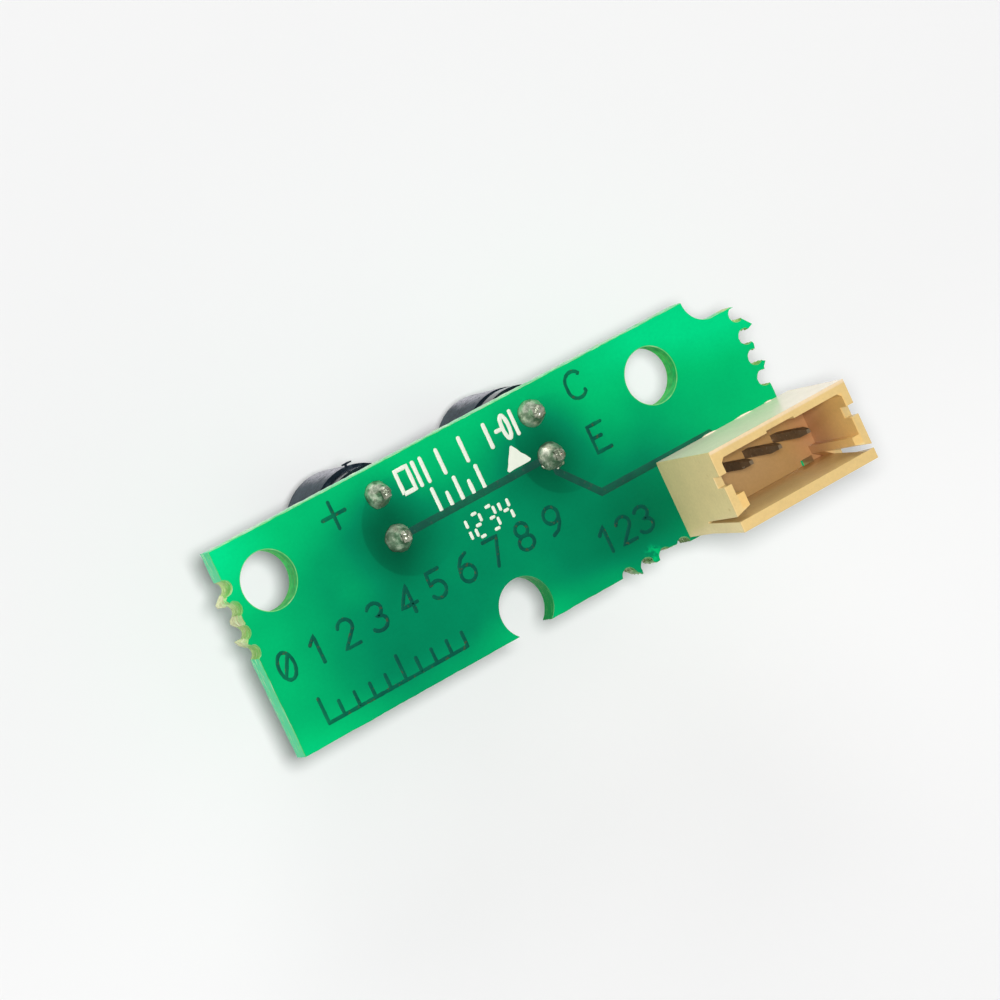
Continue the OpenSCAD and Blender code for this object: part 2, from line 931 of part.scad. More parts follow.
module receiver_chip() {
    color("#3a3f4a")
        in_place(receiver_x) receiver_chip_shape();
}

module receiver_bond_wire() {
    color("#d8b24a")
        in_place(receiver_x) receiver_wire_shape(0);
}

// ---- sleeves ----

module sleeve(wall, off) {
    bore = body_d + 2 * sleeve_gap;
    color("#2e3136")
        translate([0, 0, flange_t + off])
            difference() {
                cylinder(d = bore + 2 * wall, h = sleeve_l);
                translate([0, 0, -1])
                    cylinder(d = bore, h = sleeve_l + 2);
            }
}

module emitter_sleeve() {
    in_place(emitter_x) sleeve(emitter_sleeve_wall, emitter_sleeve_off);
}

module receiver_sleeve() {
    in_place(receiver_x) sleeve(receiver_sleeve_wall, receiver_sleeve_off);
}

board_laminate();
solder_mask_front();
solder_mask_back();
copper_front();
copper_back();
plated_holes();
etched_marks();
ink_marks();
header_housing();
header_pin(0);  // header_pin_1
header_pin(1);  // header_pin_2
header_pin(2);  // header_pin_3
header_solder();
emitter_lens();
emitter_anode_lead();
emitter_cathode_lead();
emitter_chip();
emitter_bond_wire();
emitter_sleeve();
lead_solder([0, 1]);  // emitter_solder
receiver_lens();
receiver_collector_lead();
receiver_emitter_lead();
receiver_chip();
receiver_bond_wire();
receiver_sleeve();
lead_solder([2, 3]);  // receiver_solder
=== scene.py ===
import math
import bmesh
import bpy
from mathutils import Euler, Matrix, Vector, noise
from mathutils.geometry import intersect_line_line_2d, tessellate_polygon


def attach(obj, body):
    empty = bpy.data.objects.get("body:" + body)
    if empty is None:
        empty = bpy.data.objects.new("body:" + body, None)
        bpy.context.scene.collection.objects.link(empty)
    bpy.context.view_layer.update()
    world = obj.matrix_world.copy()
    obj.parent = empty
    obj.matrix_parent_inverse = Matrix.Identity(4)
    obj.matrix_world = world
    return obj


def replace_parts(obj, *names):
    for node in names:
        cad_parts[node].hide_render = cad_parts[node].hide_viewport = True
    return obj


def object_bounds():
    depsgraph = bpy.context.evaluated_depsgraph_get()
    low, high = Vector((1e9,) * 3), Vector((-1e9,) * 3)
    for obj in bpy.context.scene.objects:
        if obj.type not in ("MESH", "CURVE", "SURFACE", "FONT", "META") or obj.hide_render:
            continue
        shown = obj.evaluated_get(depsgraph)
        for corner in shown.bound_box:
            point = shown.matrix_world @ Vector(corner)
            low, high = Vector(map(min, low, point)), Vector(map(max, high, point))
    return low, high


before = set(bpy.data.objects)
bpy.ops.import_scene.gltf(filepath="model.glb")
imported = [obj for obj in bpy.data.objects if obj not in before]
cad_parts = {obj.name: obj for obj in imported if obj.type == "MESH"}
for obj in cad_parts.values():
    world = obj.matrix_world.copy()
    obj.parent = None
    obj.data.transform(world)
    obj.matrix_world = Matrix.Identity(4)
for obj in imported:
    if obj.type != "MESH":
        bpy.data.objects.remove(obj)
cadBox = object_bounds()
scene = bpy.context.scene
mm = 0.001

shot = {
    "place": (-92.065, 24.541, 195.776), "turn": (5.306, -25.8629, -27.9324),
    "lens": 147.489, "sensor": 36, "clip": (0.01, 5),
}
studio = {
    "white": 0.893, "worldLight": 0.24,
    "lampPlace": (-65.5, 19.8, 156.4), "lampPower": 0.89, "lampWide": 22, "lampShare": 0.6, "lampFall": 3.0,
    "sideWay": (0.05, 0.97, 0.18), "sideStrength": 1.6, "sideSoft": 55, "sideShare": 0.113,
    "fillWay": (0.45, -0.85, 0.25), "fillStrength": 0.3, "fillSoft": 70, "fillShare": 0.029,
    "floorColor": 0.95, "floorSize": 1.2, "paperGrain": 60, "paperLow": 0.997,
    "lift": 0.03, "liftFrom": 0.008, "liftReach": 0.03,
    "sideLift": 0.04, "sideFrom": 0.02, "sideReach": 0.08, "sideFade": -0.02,
}
noiseSpread = (0.3, 0.7)  # nearly all values of a noise texture lie between these


def newObject(name, data):
    thing = bpy.data.objects.new(name, data)
    scene.collection.objects.link(thing)
    return thing


def makeCamera():
    data = bpy.data.cameras.new("camera")
    data.lens = shot["lens"]
    data.sensor_width = shot["sensor"]
    data.clip_start, data.clip_end = shot["clip"]
    cam = newObject("camera", data)
    cam.location = [v * mm for v in shot["place"]]
    cam.rotation_euler = Euler([math.radians(a) for a in shot["turn"]])
    scene.camera = cam


def newLamp(name, kind, power):
    lamp = newObject(name, bpy.data.lights.new(name, kind))
    lamp.data.energy = power
    return lamp


def makeLamps():
    key = newLamp("key", "POINT", studio["lampPower"])
    key.location = Vector(studio["lampPlace"]) * mm
    key.data.shadow_soft_size = studio["lampWide"] / 2 * mm
    for name in ("side", "fill"):
        sun = newLamp(name, "SUN", studio[name + "Strength"])
        sun.data.angle = math.radians(studio[name + "Soft"])
        sun.rotation_euler = Vector(studio[name + "Way"]).to_track_quat("Z", "Y").to_euler()


def place(tree, kind, **values):
    node = tree.nodes.new(kind)
    for key, value in values.items():
        setattr(node, key, value)
    return node


def feed(tree, socket, value):
    if isinstance(value, bpy.types.NodeSocket):
        tree.links.new(value, socket)
    elif isinstance(value, (tuple, list)) and len(value) == 3 and socket.type == "RGBA":
        socket.default_value = (*value, 1)
    else:
        socket.default_value = value


def feedAll(tree, node, values):
    for key, value in values.items():
        feed(tree, node.inputs[key], value)
    return node.outputs


def sums(tree, operation, a, b=0.0, c=0.0, clamp=False):
    node = place(tree, "ShaderNodeMath", operation=operation, use_clamp=clamp)
    return feedAll(tree, node, {0: a, 1: b, 2: c})[0]


def times(tree, a, b):
    return sums(tree, "MULTIPLY", a, b)


def plus(tree, a, b):
    return sums(tree, "ADD", a, b)


def minus(tree, a, b):
    return sums(tree, "SUBTRACT", a, b)


def ramp(tree, value, low, high, toLow=0.0, toHigh=1.0, smooth=True):
    node = place(tree, "ShaderNodeMapRange", interpolation_type="SMOOTHSTEP" if smooth else "LINEAR")
    given = {"Value": value, "From Min": low, "From Max": high, "To Min": toLow, "To Max": toHigh}
    return feedAll(tree, node, given)["Result"]


def blendColor(tree, factor, a, b):
    node = place(tree, "ShaderNodeMix", data_type="RGBA")
    return feedAll(tree, node, {"Factor": factor, 6: a, 7: b})[2]


def objectPoint(tree):
    return place(tree, "ShaderNodeTexCoord").outputs["Object"]


def splitAxes(tree, vector):
    node = place(tree, "ShaderNodeSeparateXYZ")
    feed(tree, node.inputs[0], vector)
    return node.outputs


def inMillimetres(tree, axes):
    parts = splitAxes(tree, objectPoint(tree))
    return [times(tree, parts[axis], 1 / mm) for axis in axes]


def vectorSums(tree, operation, a, b):
    node = place(tree, "ShaderNodeVectorMath", operation=operation)
    return feedAll(tree, node, {0: a, 1: b})["Value"]


def cloud(tree, point, scale, detail=3.0, rough=0.5):
    given = {"Vector": point, "Scale": scale, "Detail": detail, "Roughness": rough}
    return feedAll(tree, place(tree, "ShaderNodeTexNoise"), given)["Fac"]


def screenColor(r, g, b):
    return tuple(((c / 255 + 0.055) / 1.055) ** 2.4 if c > 10 else c / 255 / 12.92 for c in (r, g, b))


def tinted(tree, factor, color, tone):
    return blendColor(tree, factor, color, screenColor(*tone))


def tones(tree, factor, a, b):
    return tinted(tree, factor, screenColor(*a), b)


def newMaterial(name, gloss=0.5, **values):
    mat = bpy.data.materials.new(name)
    mat.use_nodes = True
    shader = mat.node_tree.nodes["Principled BSDF"]
    shader.inputs["Specular IOR Level"].default_value = gloss
    for key, value in values.items():
        shader.inputs[key].default_value = value
    return mat, mat.node_tree, shader.inputs


def coat(tree, skin, color, height, strength, distance):
    given = {"Strength": strength, "Distance": distance * mm, "Height": height}
    feed(tree, skin["Normal"], feedAll(tree, place(tree, "ShaderNodeBump"), given)["Normal"])
    feed(tree, skin["Base Color"], color)


def newGroup(name, inputs, outputs):
    group = bpy.data.node_groups.new(name, "ShaderNodeTree")
    for label, kind, value in inputs:
        socket = group.interface.new_socket(label, in_out="INPUT", socket_type="NodeSocket" + kind)
        socket.default_value = value
    for label, kind in outputs:
        group.interface.new_socket(label, in_out="OUTPUT", socket_type="NodeSocket" + kind)
    return group, place(group, "NodeGroupInput").outputs, place(group, "NodeGroupOutput").inputs


def useGroup(tree, group, **values):
    return feedAll(tree, place(tree, "ShaderNodeGroup", node_tree=group), values)


def seenDirectly(tree):
    path = place(tree, "ShaderNodeLightPath").outputs
    seen = sums(tree, "MAXIMUM", path["Is Camera Ray"], path["Is Glossy Ray"])
    return sums(tree, "MAXIMUM", seen, path["Is Transmission Ray"])


def makeFloor():
    s = studio
    lowest = cadBox[0].z
    half = s["floorSize"] / 2
    corners = [(-half, -half, lowest), (half, -half, lowest), (half, half, lowest), (-half, half, lowest)]
    mesh = bpy.data.meshes.new("floor")
    mesh.from_pydata(corners, [], [(0, 1, 2, 3)])
    floor = newObject("floor", mesh)
    mat, tree, skin = newMaterial("floorPaper", 0.0, Roughness=0.9)
    point = objectPoint(tree)
    lamp = Vector(s["lampPlace"]) * mm
    under = (lamp - Vector((0, 0, lowest))).length
    away = vectorSums(tree, "DISTANCE", point, lamp)
    fall = sums(tree, "POWER", sums(tree, "DIVIDE", under, away), s["lampFall"])
    even = s["worldLight"] + s["sideShare"] + s["fillShare"]
    arriving = sums(tree, "MULTIPLY_ADD", fall, s["lampShare"], even)
    middle = vectorSums(tree, "DISTANCE", point, (cadBox[0] + cadBox[1]) / 2)
    # painted light on the floor around the object, where its broad shade falls, and more where it shades
    # the side light
    lift = ramp(tree, middle, s["liftFrom"], s["liftReach"], s["lift"], 0.0)
    nearPart = ramp(tree, middle, s["sideFrom"], s["sideReach"], 1.0, 0.0)
    behind = ramp(tree, splitAxes(tree, point)["Y"], 0.0, s["sideFade"])
    shaded = times(tree, nearPart, behind)
    wanted = plus(tree, sums(tree, "MULTIPLY_ADD", shaded, s["sideLift"], lift), s["white"])
    needed = sums(tree, "DIVIDE", wanted, arriving)  # the paper evens out the lamp
    paper = sums(tree, "MINIMUM", needed, s["floorColor"])
    speckle = ramp(tree, cloud(tree, point, s["paperGrain"]), *noiseSpread, s["paperLow"], 1.0)
    feed(tree, skin["Base Color"], times(tree, paper, speckle))
    missing = sums(tree, "SUBTRACT", wanted, times(tree, paper, arriving), clamp=True)
    skin["Emission Color"].default_value = (1, 1, 1, 1)
    feed(tree, skin["Emission Strength"], times(tree, missing, seenDirectly(tree)))
    clear = place(tree, "ShaderNodeBsdfTransparent")  # the floor is only there from above
    mixed = place(tree, "ShaderNodeMixShader")
    feed(tree, mixed.inputs[0], place(tree, "ShaderNodeNewGeometry").outputs["Backfacing"])
    feed(tree, mixed.inputs[1], tree.nodes["Principled BSDF"].outputs[0])
    feed(tree, mixed.inputs[2], clear.outputs[0])
    feed(tree, tree.nodes["Material Output"].inputs["Surface"], mixed.outputs[0])
    mesh.materials.append(mat)


def makeWorld():
    world = bpy.data.worlds.new("studio")
    world.use_nodes = True
    scene.world = world
    tree = world.node_tree
    back = tree.nodes["Background"]
    feed(tree, back.inputs["Color"], (1.0, 1.0, 1.0))
    light = ramp(tree, seenDirectly(tree), 0, 1, studio["worldLight"], studio["white"], smooth=False)
    feed(tree, back.inputs["Strength"], light)


makeCamera()
makeWorld()
makeFloor()
makeLamps()
scene.view_settings.view_transform = "Standard"
print("camera, floor and light are set")


grain = {"fineShare": 0.6, "fineDetail": 4.0, "fineRough": 0.6, "broadSize": 0.16, "broadDetail": 2.0}
spot = {"fewest": 0.78, "coverFall": 0.5, "soft": 0.05, "detail": 2.0}


def makeGrain():
    group, take, give = newGroup(
        "fineGrain",
        [("Color", "Color", (1, 1, 1, 1)), ("Amount", "Float", 0.1),
         ("Size", "Float", 3000.0)],
        [("Color", "Color"), ("Height", "Float")],
    )
    point = objectPoint(group)
    fine = cloud(group, point, take["Size"], grain["fineDetail"], grain["fineRough"])
    broadSize = times(group, take["Size"], grain["broadSize"])
    broad = cloud(group, point, broadSize, grain["broadDetail"])
    fine = times(group, fine, grain["fineShare"])
    broad = times(group, broad, 1 - grain["fineShare"])
    mixed = plus(group, fine, broad)
    level = ramp(group, mixed, *noiseSpread, 1.0, 0.0, smooth=False)
    shade = minus(group, 1.0, times(group, level, take["Amount"]))
    scaled = place(group, "ShaderNodeVectorMath", operation="SCALE")
    feed(group, scaled.inputs[0], take["Color"])
    feed(group, scaled.inputs["Scale"], shade)
    feed(group, give["Color"], scaled.outputs[0])
    feed(group, give["Height"], mixed)
    return group


def makeSpots():
    group, take, give = newGroup(
        "spots",
        [("Color", "Color", (1, 1, 1, 1)), ("Spot Color", "Color", (0.5, 0.5, 0.5, 1)),
         ("Size", "Float", 1500.0), ("Cover", "Float", 0.2),
         ("Strength", "Float", 0.5)],
        [("Color", "Color")],
    )
    field = cloud(group, objectPoint(group), take["Size"], spot["detail"], 0.5)
    lowered = times(group, take["Cover"], spot["coverFall"])
    edge = minus(group, spot["fewest"], lowered)
    inSpot = ramp(group, field, edge, plus(group, edge, spot["soft"]))
    mask = times(group, inSpot, take["Strength"])
    feed(group, give["Color"], blendColor(group, mask, take["Color"], take["Spot Color"]))
    return group


fineGrain, spots = makeGrain(), makeSpots()


def withGrain(tree, color, amount, size):
    return useGroup(tree, fineGrain, Color=color, Amount=amount, Size=size)


def withSpots(tree, color, tone, size, cover, strength):
    values = {"Spot Color": screenColor(*tone), "Size": size, "Cover": cover, "Strength": strength}
    return useGroup(tree, spots, Color=color, **values)["Color"]


def finish(name, tone, amount=0.1, size=3000.0, dots=None, relief=(0.1, 0.01), **values):
    mat, tree, skin = newMaterial(name, **values)
    grained = withGrain(tree, screenColor(*tone), amount, size)
    tint = withSpots(tree, grained["Color"], *dots) if dots else grained["Color"]
    coat(tree, skin, tint, grained["Height"], *relief)
    return mat


def newPiece(name, vertices, faces, materials, slotName, tags=None, smooth=True, sharpAngle=35):
    mesh = bpy.data.meshes.new(name)
    mesh.from_pydata([Vector(v) * mm for v in vertices], [], faces)
    for mat in materials:
        mesh.materials.append(mat)
    if tags:
        for polygon, tag in zip(mesh.polygons, tags):
            polygon.material_index = tag
    work = bmesh.new()
    work.from_mesh(mesh)
    bmesh.ops.recalc_face_normals(work, faces=work.faces)
    for edge in work.edges:
        edge.smooth = not edge.is_boundary and edge.calc_face_angle(0) < math.radians(sharpAngle)
    for face in work.faces:
        face.smooth = smooth
    work.to_mesh(mesh)
    work.free()
    piece = newObject(name, mesh)
    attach(piece, "root")
    return piece


cut, sawn, torn, drilled, bitten = range(5)  # the faces of a ply, each with its own finish


def slab(outer, holes, low, high):
    loops = [outer] + holes
    flat = [p for loop in loops for p in loop]
    count = len(flat)
    vertices = [(p[0], p[1], high) for p in flat] + [(p[0], p[1], low) for p in flat]
    caps = tessellate_polygon([[Vector((p[0], p[1], 0)) for p in loop] for loop in loops])
    faces, tags = [], []
    for a, b, c in caps:
        faces += [(a, b, c), (c + count, b + count, a + count)]
        tags += [cut, cut]
    start = 0
    for loop in loops:
        n = len(loop)
        for k in range(n):
            a, b = start + k, start + (k + 1) % n
            faces.append((a, b, b + count, a + count))
            tags.append(loop[k][2] if len(loop[k]) > 2 else sawn)
        start += n
    return vertices, faces, tags


def circle(x, y, r, n, tag=sawn):
    turns = [2 * math.pi * k / n for k in range(n)]
    return [(x + r * math.cos(a), y + r * math.sin(a), tag) for a in turns]


def joinParts(parts):
    vertices, faces, tags = [], [], []
    for v, f, t in parts:
        base = len(vertices)
        vertices += v
        faces += [tuple(i + base for i in face) for face in f]
        tags += t
    return vertices, faces, tags


board = {
    "left": -15.1, "right": 19.3, "bottom": -9.06, "top": 2.75, "thick": 1.2, "mask": 0.06, "plies": 9,
    "hole": 1.6, "holeX": 12.7, "ring": 0.045, "stepX": 16.25, "stepY": 1.25, "stepR": 1.45,
    "notchSpan": 3.0, "rightEnd": 1.0, "cornerOut": (0.17, 0.32), "cornerDrop": 0.03, "ledgeStep": 0.4,
    "stepSides": 24, "back": {"left": 0.03, "top": 0.02, "right": 0.01, "bottom": 0.01},
}
joints = {
    "pitch": 2.54, "spacing": 10.16, "padR": 0.62, "bore": 0.5, "pinX": (13.4, 15.4, 17.4), "pinY": -6.1,
}
tear = {
    "step": 0.25, "sawRough": 0.02, "sawFine": 0.025, "webAlong": 0.06, "webOut": 0.08,
    "biteRough": 0.05, "biteSides": 20, "drillRough": 0.004, "drillSides": 96,
}

# Along each edge: bites as (place, radius, how far out) on the front and on the back,
# and between them the broken webs, corner by corner as (place, out) on the front and on the back
leftRow = {
    "bites": (
        ((-0.7, 0.42, 0.02), (-0.7, 0.4, 0.16)), ((0.52, 0.44, 0.03), (0.6, 0.38, 0.15)),
        ((1.8, 0.42, 0.15), (1.8, 0.38, 0.17)), ((2.96, 0.43, 0.14), (2.98, 0.4, 0.17)),
    ),
    "webs": (
        (((-0.22, 0.12), (-0.36, 0.0)), ((-0.14, 0.24), (0.04, 0.43)),
         ((-0.05, 0.24), (0.18, 0.43)), ((0.1, 0.1), (0.3, 0.12))),
        (((0.9, -0.15), (0.9, -0.05)), ((1.02, -0.16), (1.05, 0.12)),
         ((1.2, -0.18), (1.22, 0.15)), ((1.38, -0.17), (1.5, -0.04))),
        (((2.2, 0.05), (2.1, 0.07)), ((2.34, 0.15), (2.12, 0.4)),
         ((2.42, 0.14), (2.42, 0.24)), ((2.56, 0.04), (2.66, -0.04))),
    ),
}
rightRow = {
    "bites": tuple(((s, 0.45, -0.2),) * 2 for s in (-3.07, -1.82, -0.57, 0.79)),
    "webs": (
        (((-2.59, 0.06), (-2.6, 0.04)), ((-2.54, 0.1), (-2.52, 0.12)),
         ((-2.27, 0.26), (-2.3, 0.2)), ((-2.22, 0.2), (-2.24, 0.1))),
        (((-1.44, -0.02), (-1.42, 0.0)), ((-1.39, 0.02), (-1.38, -0.02)),
         ((-1.12, 0.08), (-1.16, 0.05)), ((-1.07, 0.04), (-1.1, 0.0))),
        (((-0.25, 0.08), (-0.25, 0.06)), ((-0.22, 0.2), (-0.2, 0.16)),
         ((-0.11, 0.48), (-0.1, 0.4)), ((0.46, 0.03), (0.44, 0.05))),
    ),
}
bottomRow = {
    "bites": (
        ((6.4, 0.45, 0.02), (6.4, 0.4, 0.04)), ((7.66, 0.45, 0.03), (7.66, 0.4, 0.05)),
        ((8.93, 0.45, 0.03), (8.9, 0.4, 0.05)), ((10.2, 0.45, 0.02), (10.2, 0.38, 0.0)),
    ),
    "webs": (
        (((6.82, -0.16), (6.8, -0.1)), ((6.9, 0.03), (6.95, 0.05)),
         ((7.16, 0.25), (7.1, 0.22)), ((7.24, 0.04), (7.2, 0.08))),
        (((8.02, -0.1), (8.0, -0.1)), ((8.12, 0.04), (8.1, 0.02)),
         ((8.24, 0.12), (8.2, 0.08)), ((8.4, 0.1), (8.42, 0.05))),
        (((9.24, -0.26), (9.26, -0.2)), ((9.5, -0.23), (9.5, -0.15)),
         ((9.78, -0.2), (9.76, -0.16)), ((9.86, -0.24), (9.84, -0.2))),
    ),
}
notchRow = {"bites": (((0.0, 1.65, -1.25),) * 2,), "webs": ()}
bareRow = {"bites": (), "webs": ()}


def wobble(x, y, seed, size):
    return noise.noise(Vector((x * 1.7, y * 1.7, seed * 3.1))) * size


def edgeRun(start, end, row, depth, inset, seed):
    points = []

    def straight(a, b):
        n = max(2, int(abs(b - a) / tear["step"]))
        for k in range(n):
            s = a + (b - a) * k / n
            rough = wobble(s, seed, 7, tear["sawRough"]) + wobble(s * 3, seed, 9, tear["sawFine"])
            points.append((s, -inset + rough, sawn))

    def between(pair):
        return [a + (b - a) * depth for a, b in zip(*pair)]

    bites = [between(pair) for pair in row["bites"]]
    webs = [[between(pair) for pair in web] for web in row["webs"]]
    for k, (c, r, out) in enumerate(bites):
        r += inset
        half = math.sqrt(max(0.01, r * r - (out + inset) ** 2))
        if k == 0:
            straight(start, c - half)
            before = (c - half, -inset)
        else:
            for j, (s, t) in enumerate(webs[k - 1]):
                along = s + wobble(s * 5, seed, 3, tear["webAlong"])
                points.append((along, t - inset + wobble(s * 9, seed + j, 5, tear["webOut"]), torn))
            before = points[-1]
        after = webs[k][0] if k < len(webs) else (c + half, -inset)
        a0 = math.atan2(before[1] - out, before[0] - c) % (2 * math.pi)
        a1 = math.atan2(after[1] - out, after[0] - c) % (2 * math.pi)
        a1 += 2 * math.pi if a1 < a0 else 0
        kind, tag = ("drill", drilled) if r > 1 else ("bite", bitten)
        n = tear[kind + "Sides"]
        for j in range(n + 1):
            a = a0 + (a1 - a0) * j / n
            rough = 1 + wobble(math.cos(a) * 2 + k * 5, math.sin(a) * 2, seed, tear[kind + "Rough"])
            points.append((c + r * rough * math.cos(a), out + r * rough * math.sin(a), tag))
    straight(points[-1][0] if bites else start, end)
    return points


def withoutLoops(points, reach=24):
    k = 0
    while k < len(points) - 3:
        for j in range(min(len(points) - 2, k + reach), k + 1, -1):
            hit = intersect_line_line_2d(*(Vector(points[i][:2]) for i in (k, k + 1, j, j + 1)))
            if hit:
                points[k + 1:j + 1] = [(hit.x, hit.y, points[j][2])]
                break
        k += 1
    return points


def boardOutline(depth, seed, pulled=0.0):
    b = board
    back = {side: pulled * gap for side, gap in b["back"].items()}
    left, right = b["left"] + back["left"], b["right"] - back["right"]
    bottom, top = b["bottom"] + back["bottom"], b["top"] - back["top"]
    span = b["notchSpan"]
    run = edgeRun(left, -span, bareRow, depth, back["bottom"], seed)
    run += edgeRun(-span, span, notchRow, depth, back["bottom"], seed)
    run += edgeRun(span, right, bottomRow, depth, back["bottom"] * 2, seed + 20)
    outline = [(s, b["bottom"] - t, tag) for s, t, tag in run]
    c, r = rightRow["bites"][-1][0][:2]
    run = edgeRun(bottom, b["rightEnd"], rightRow, depth, back["right"] * 2, seed + 40)
    while run[-1][0] > c + r * 0.9 or run[-1][2] == sawn:  # the last bite opens into the step
        run.pop()
    step = b["stepY"] - back["top"]
    outline += [(b["right"] + t, s, tag) for s, t, tag in run]
    near, far = b["cornerOut"]
    outline.append((b["right"] - near + wobble(seed, 1, 2, 0.04), step - b["cornerDrop"], torn))
    outline.append((b["right"] - far, step + wobble(seed, 3, 2, 0.04), torn))
    for k in range(2, 5):
        outline.append((b["right"] - b["ledgeStep"] * k, step + wobble(k, seed, 4, 0.03), sawn))
    cx, cy, r = b["stepX"] + b["stepR"], b["stepY"] + b["stepR"], b["stepR"] + back["top"]
    for j in range(b["stepSides"] + 1):
        a = -math.pi / 2 * (1 + j / b["stepSides"])
        outline.append((cx + r * math.cos(a), cy + r * math.sin(a), sawn))
    run = edgeRun(-(b["stepX"] - back["top"]), -left, bareRow, depth, 0, seed + 60)
    outline += [(-s, top + t, tag) for s, t, tag in run]
    run = edgeRun(-top, -bottom, leftRow, depth, back["left"], seed + 80)
    outline += [(b["left"] - t, -s, tag) for s, t, tag in run]
    return withoutLoops(outline)


jointPlaces = [(sx * joints["spacing"] / 2, sy * joints["pitch"] / 2) for sx in (-1, 1) for sy in (1, -1)]
pinPlaces = [(x, joints["pinY"]) for x in joints["pinX"]]


def makeBoard():
    b = board
    holes = [circle(side * b["holeX"], 0, b["hole"], 96, drilled) for side in (-1, 1)]
    holes += [circle(x, y, joints["bore"], 32, drilled) for x, y in jointPlaces + pinPlaces]
    high, low = -b["mask"], -b["thick"] + b["mask"]
    step = (high - low) / b["plies"]
    parts = []
    for k in range(b["plies"]):
        outline = boardOutline(k / (b["plies"] - 1), k + 1)
        parts.append(slab(outline, holes, high - (k + 1) * step, high - k * step))
    vertices, faces, tags = joinParts(parts)
    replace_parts(newPiece("boardPlies", vertices, faces, plyFinishes, "laminate", tags), "board_laminate")
    openings = [circle(side * b["holeX"], 0, b["hole"] + b["ring"], 96) for side in (-1, 1)]
    openings += [circle(x, y, joints["padR"], 40) for x, y in jointPlaces + pinPlaces]
    for name, node, span, depth in (
        ("frontMask", "solder_mask_front", (high, 0.0), 0.0),
        ("backMask", "solder_mask_back", (-b["thick"], low), 1.0),
    ):
        outline = boardOutline(depth, 1 + depth * (b["plies"] - 1), 1.0)
        vertices, faces = slab(outline, openings, *span)[:2]
        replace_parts(newPiece(name, vertices, faces, [maskGreen], "solder_mask"), node)


plyLook = {
    "turns": (-0.15, -1.05), "blotch": 0.35, "blotchSize": 900, "fibreSize": 4200,
    "fibreShow": (0.45, 0.72), "fibreShare": 0.75, "squash": (0.22, 0.22, 3.2),
    "grainSize": 3200.0, "relief": (0.45, 0.03),
}
plyColors = {  # near the front, near the back, fibres, and how much grain
    "barePly": ((124, 214, 126), (214, 222, 180), (230, 236, 205), 0.3),
    "sawnEdge": ((95, 224, 168), (184, 226, 202), (205, 240, 220), 0.22),
    "tornGlass": ((196, 222, 142), (224, 224, 176), (240, 236, 204), 0.3),
    "drilledWall": ((0, 208, 106), (66, 224, 108), (128, 216, 104), 0.6),
    "bittenWall": ((118, 202, 84), (172, 216, 124), (208, 224, 138), 0.35),
}
plyShades = (  # which faces, along which axis, from, to, how strong, colour
    (sawn, "X", -14.8, -15.0, 0.88, (76, 216, 154)),  # the left edge is greener
    (drilled, "Y", -5.4, -6.6, 0.88, (0, 138, 68)),  # painted shade: the notch walls are darker
    (bitten, "Y", -8.0, -8.35, 0.88, (62, 84, 34)),  # painted shade: the bottom row's bites are darker
    # painted shade: the torn webs along the bottom are darker too
    (torn, "Y", -8.2, -8.6, 0.75, (40, 120, 72)),
)


def plyFinish(name, upper, lower, fibre, amount):
    look = plyLook
    mat, tree, skin = newMaterial(name, 0.2, Roughness=0.6)
    point = objectPoint(tree)
    patches = cloud(tree, point, look["blotchSize"])
    blotch = ramp(tree, patches, *noiseSpread, -look["blotch"], look["blotch"], smooth=False)
    height = inMillimetres(tree, "Z")[0]
    share = ramp(tree, plus(tree, height, blotch), *look["turns"])
    color = tones(tree, share, upper, lower)
    squashed = place(tree, "ShaderNodeMapping")  # the glass fibres show as fine level lines
    feed(tree, squashed.inputs["Vector"], point)
    squashed.inputs["Scale"].default_value = look["squash"]
    lines = cloud(tree, squashed.outputs[0], look["fibreSize"], 2.0, 0.6)
    fibres = ramp(tree, lines, *look["fibreShow"], 0.0, look["fibreShare"])
    color = tinted(tree, fibres, color, fibre)
    grained = withGrain(tree, color, amount, look["grainSize"])
    coat(tree, skin, grained["Color"], plus(tree, lines, grained["Height"]), *look["relief"])
    return mat


def shadeAlong(mat, axis, start, end, amount, color):
    tree = mat.node_tree
    base = tree.nodes["Principled BSDF"].inputs["Base Color"]
    share = ramp(tree, inMillimetres(tree, axis)[0], start, end, 0.0, amount)
    feed(tree, base, tinted(tree, share, base.links[0].from_socket, color))


plyFinishes = [plyFinish(name, *look) for name, look in plyColors.items()]
for face, *shade in plyShades:
    shadeAlong(plyFinishes[face], *shade)


def distanceTo(tree, x, y, cx, cy):
    dx = minus(tree, x, cx)
    dy = minus(tree, y, cy)
    squares = plus(tree, times(tree, dx, dx), times(tree, dy, dy))
    return sums(tree, "SQRT", squares)


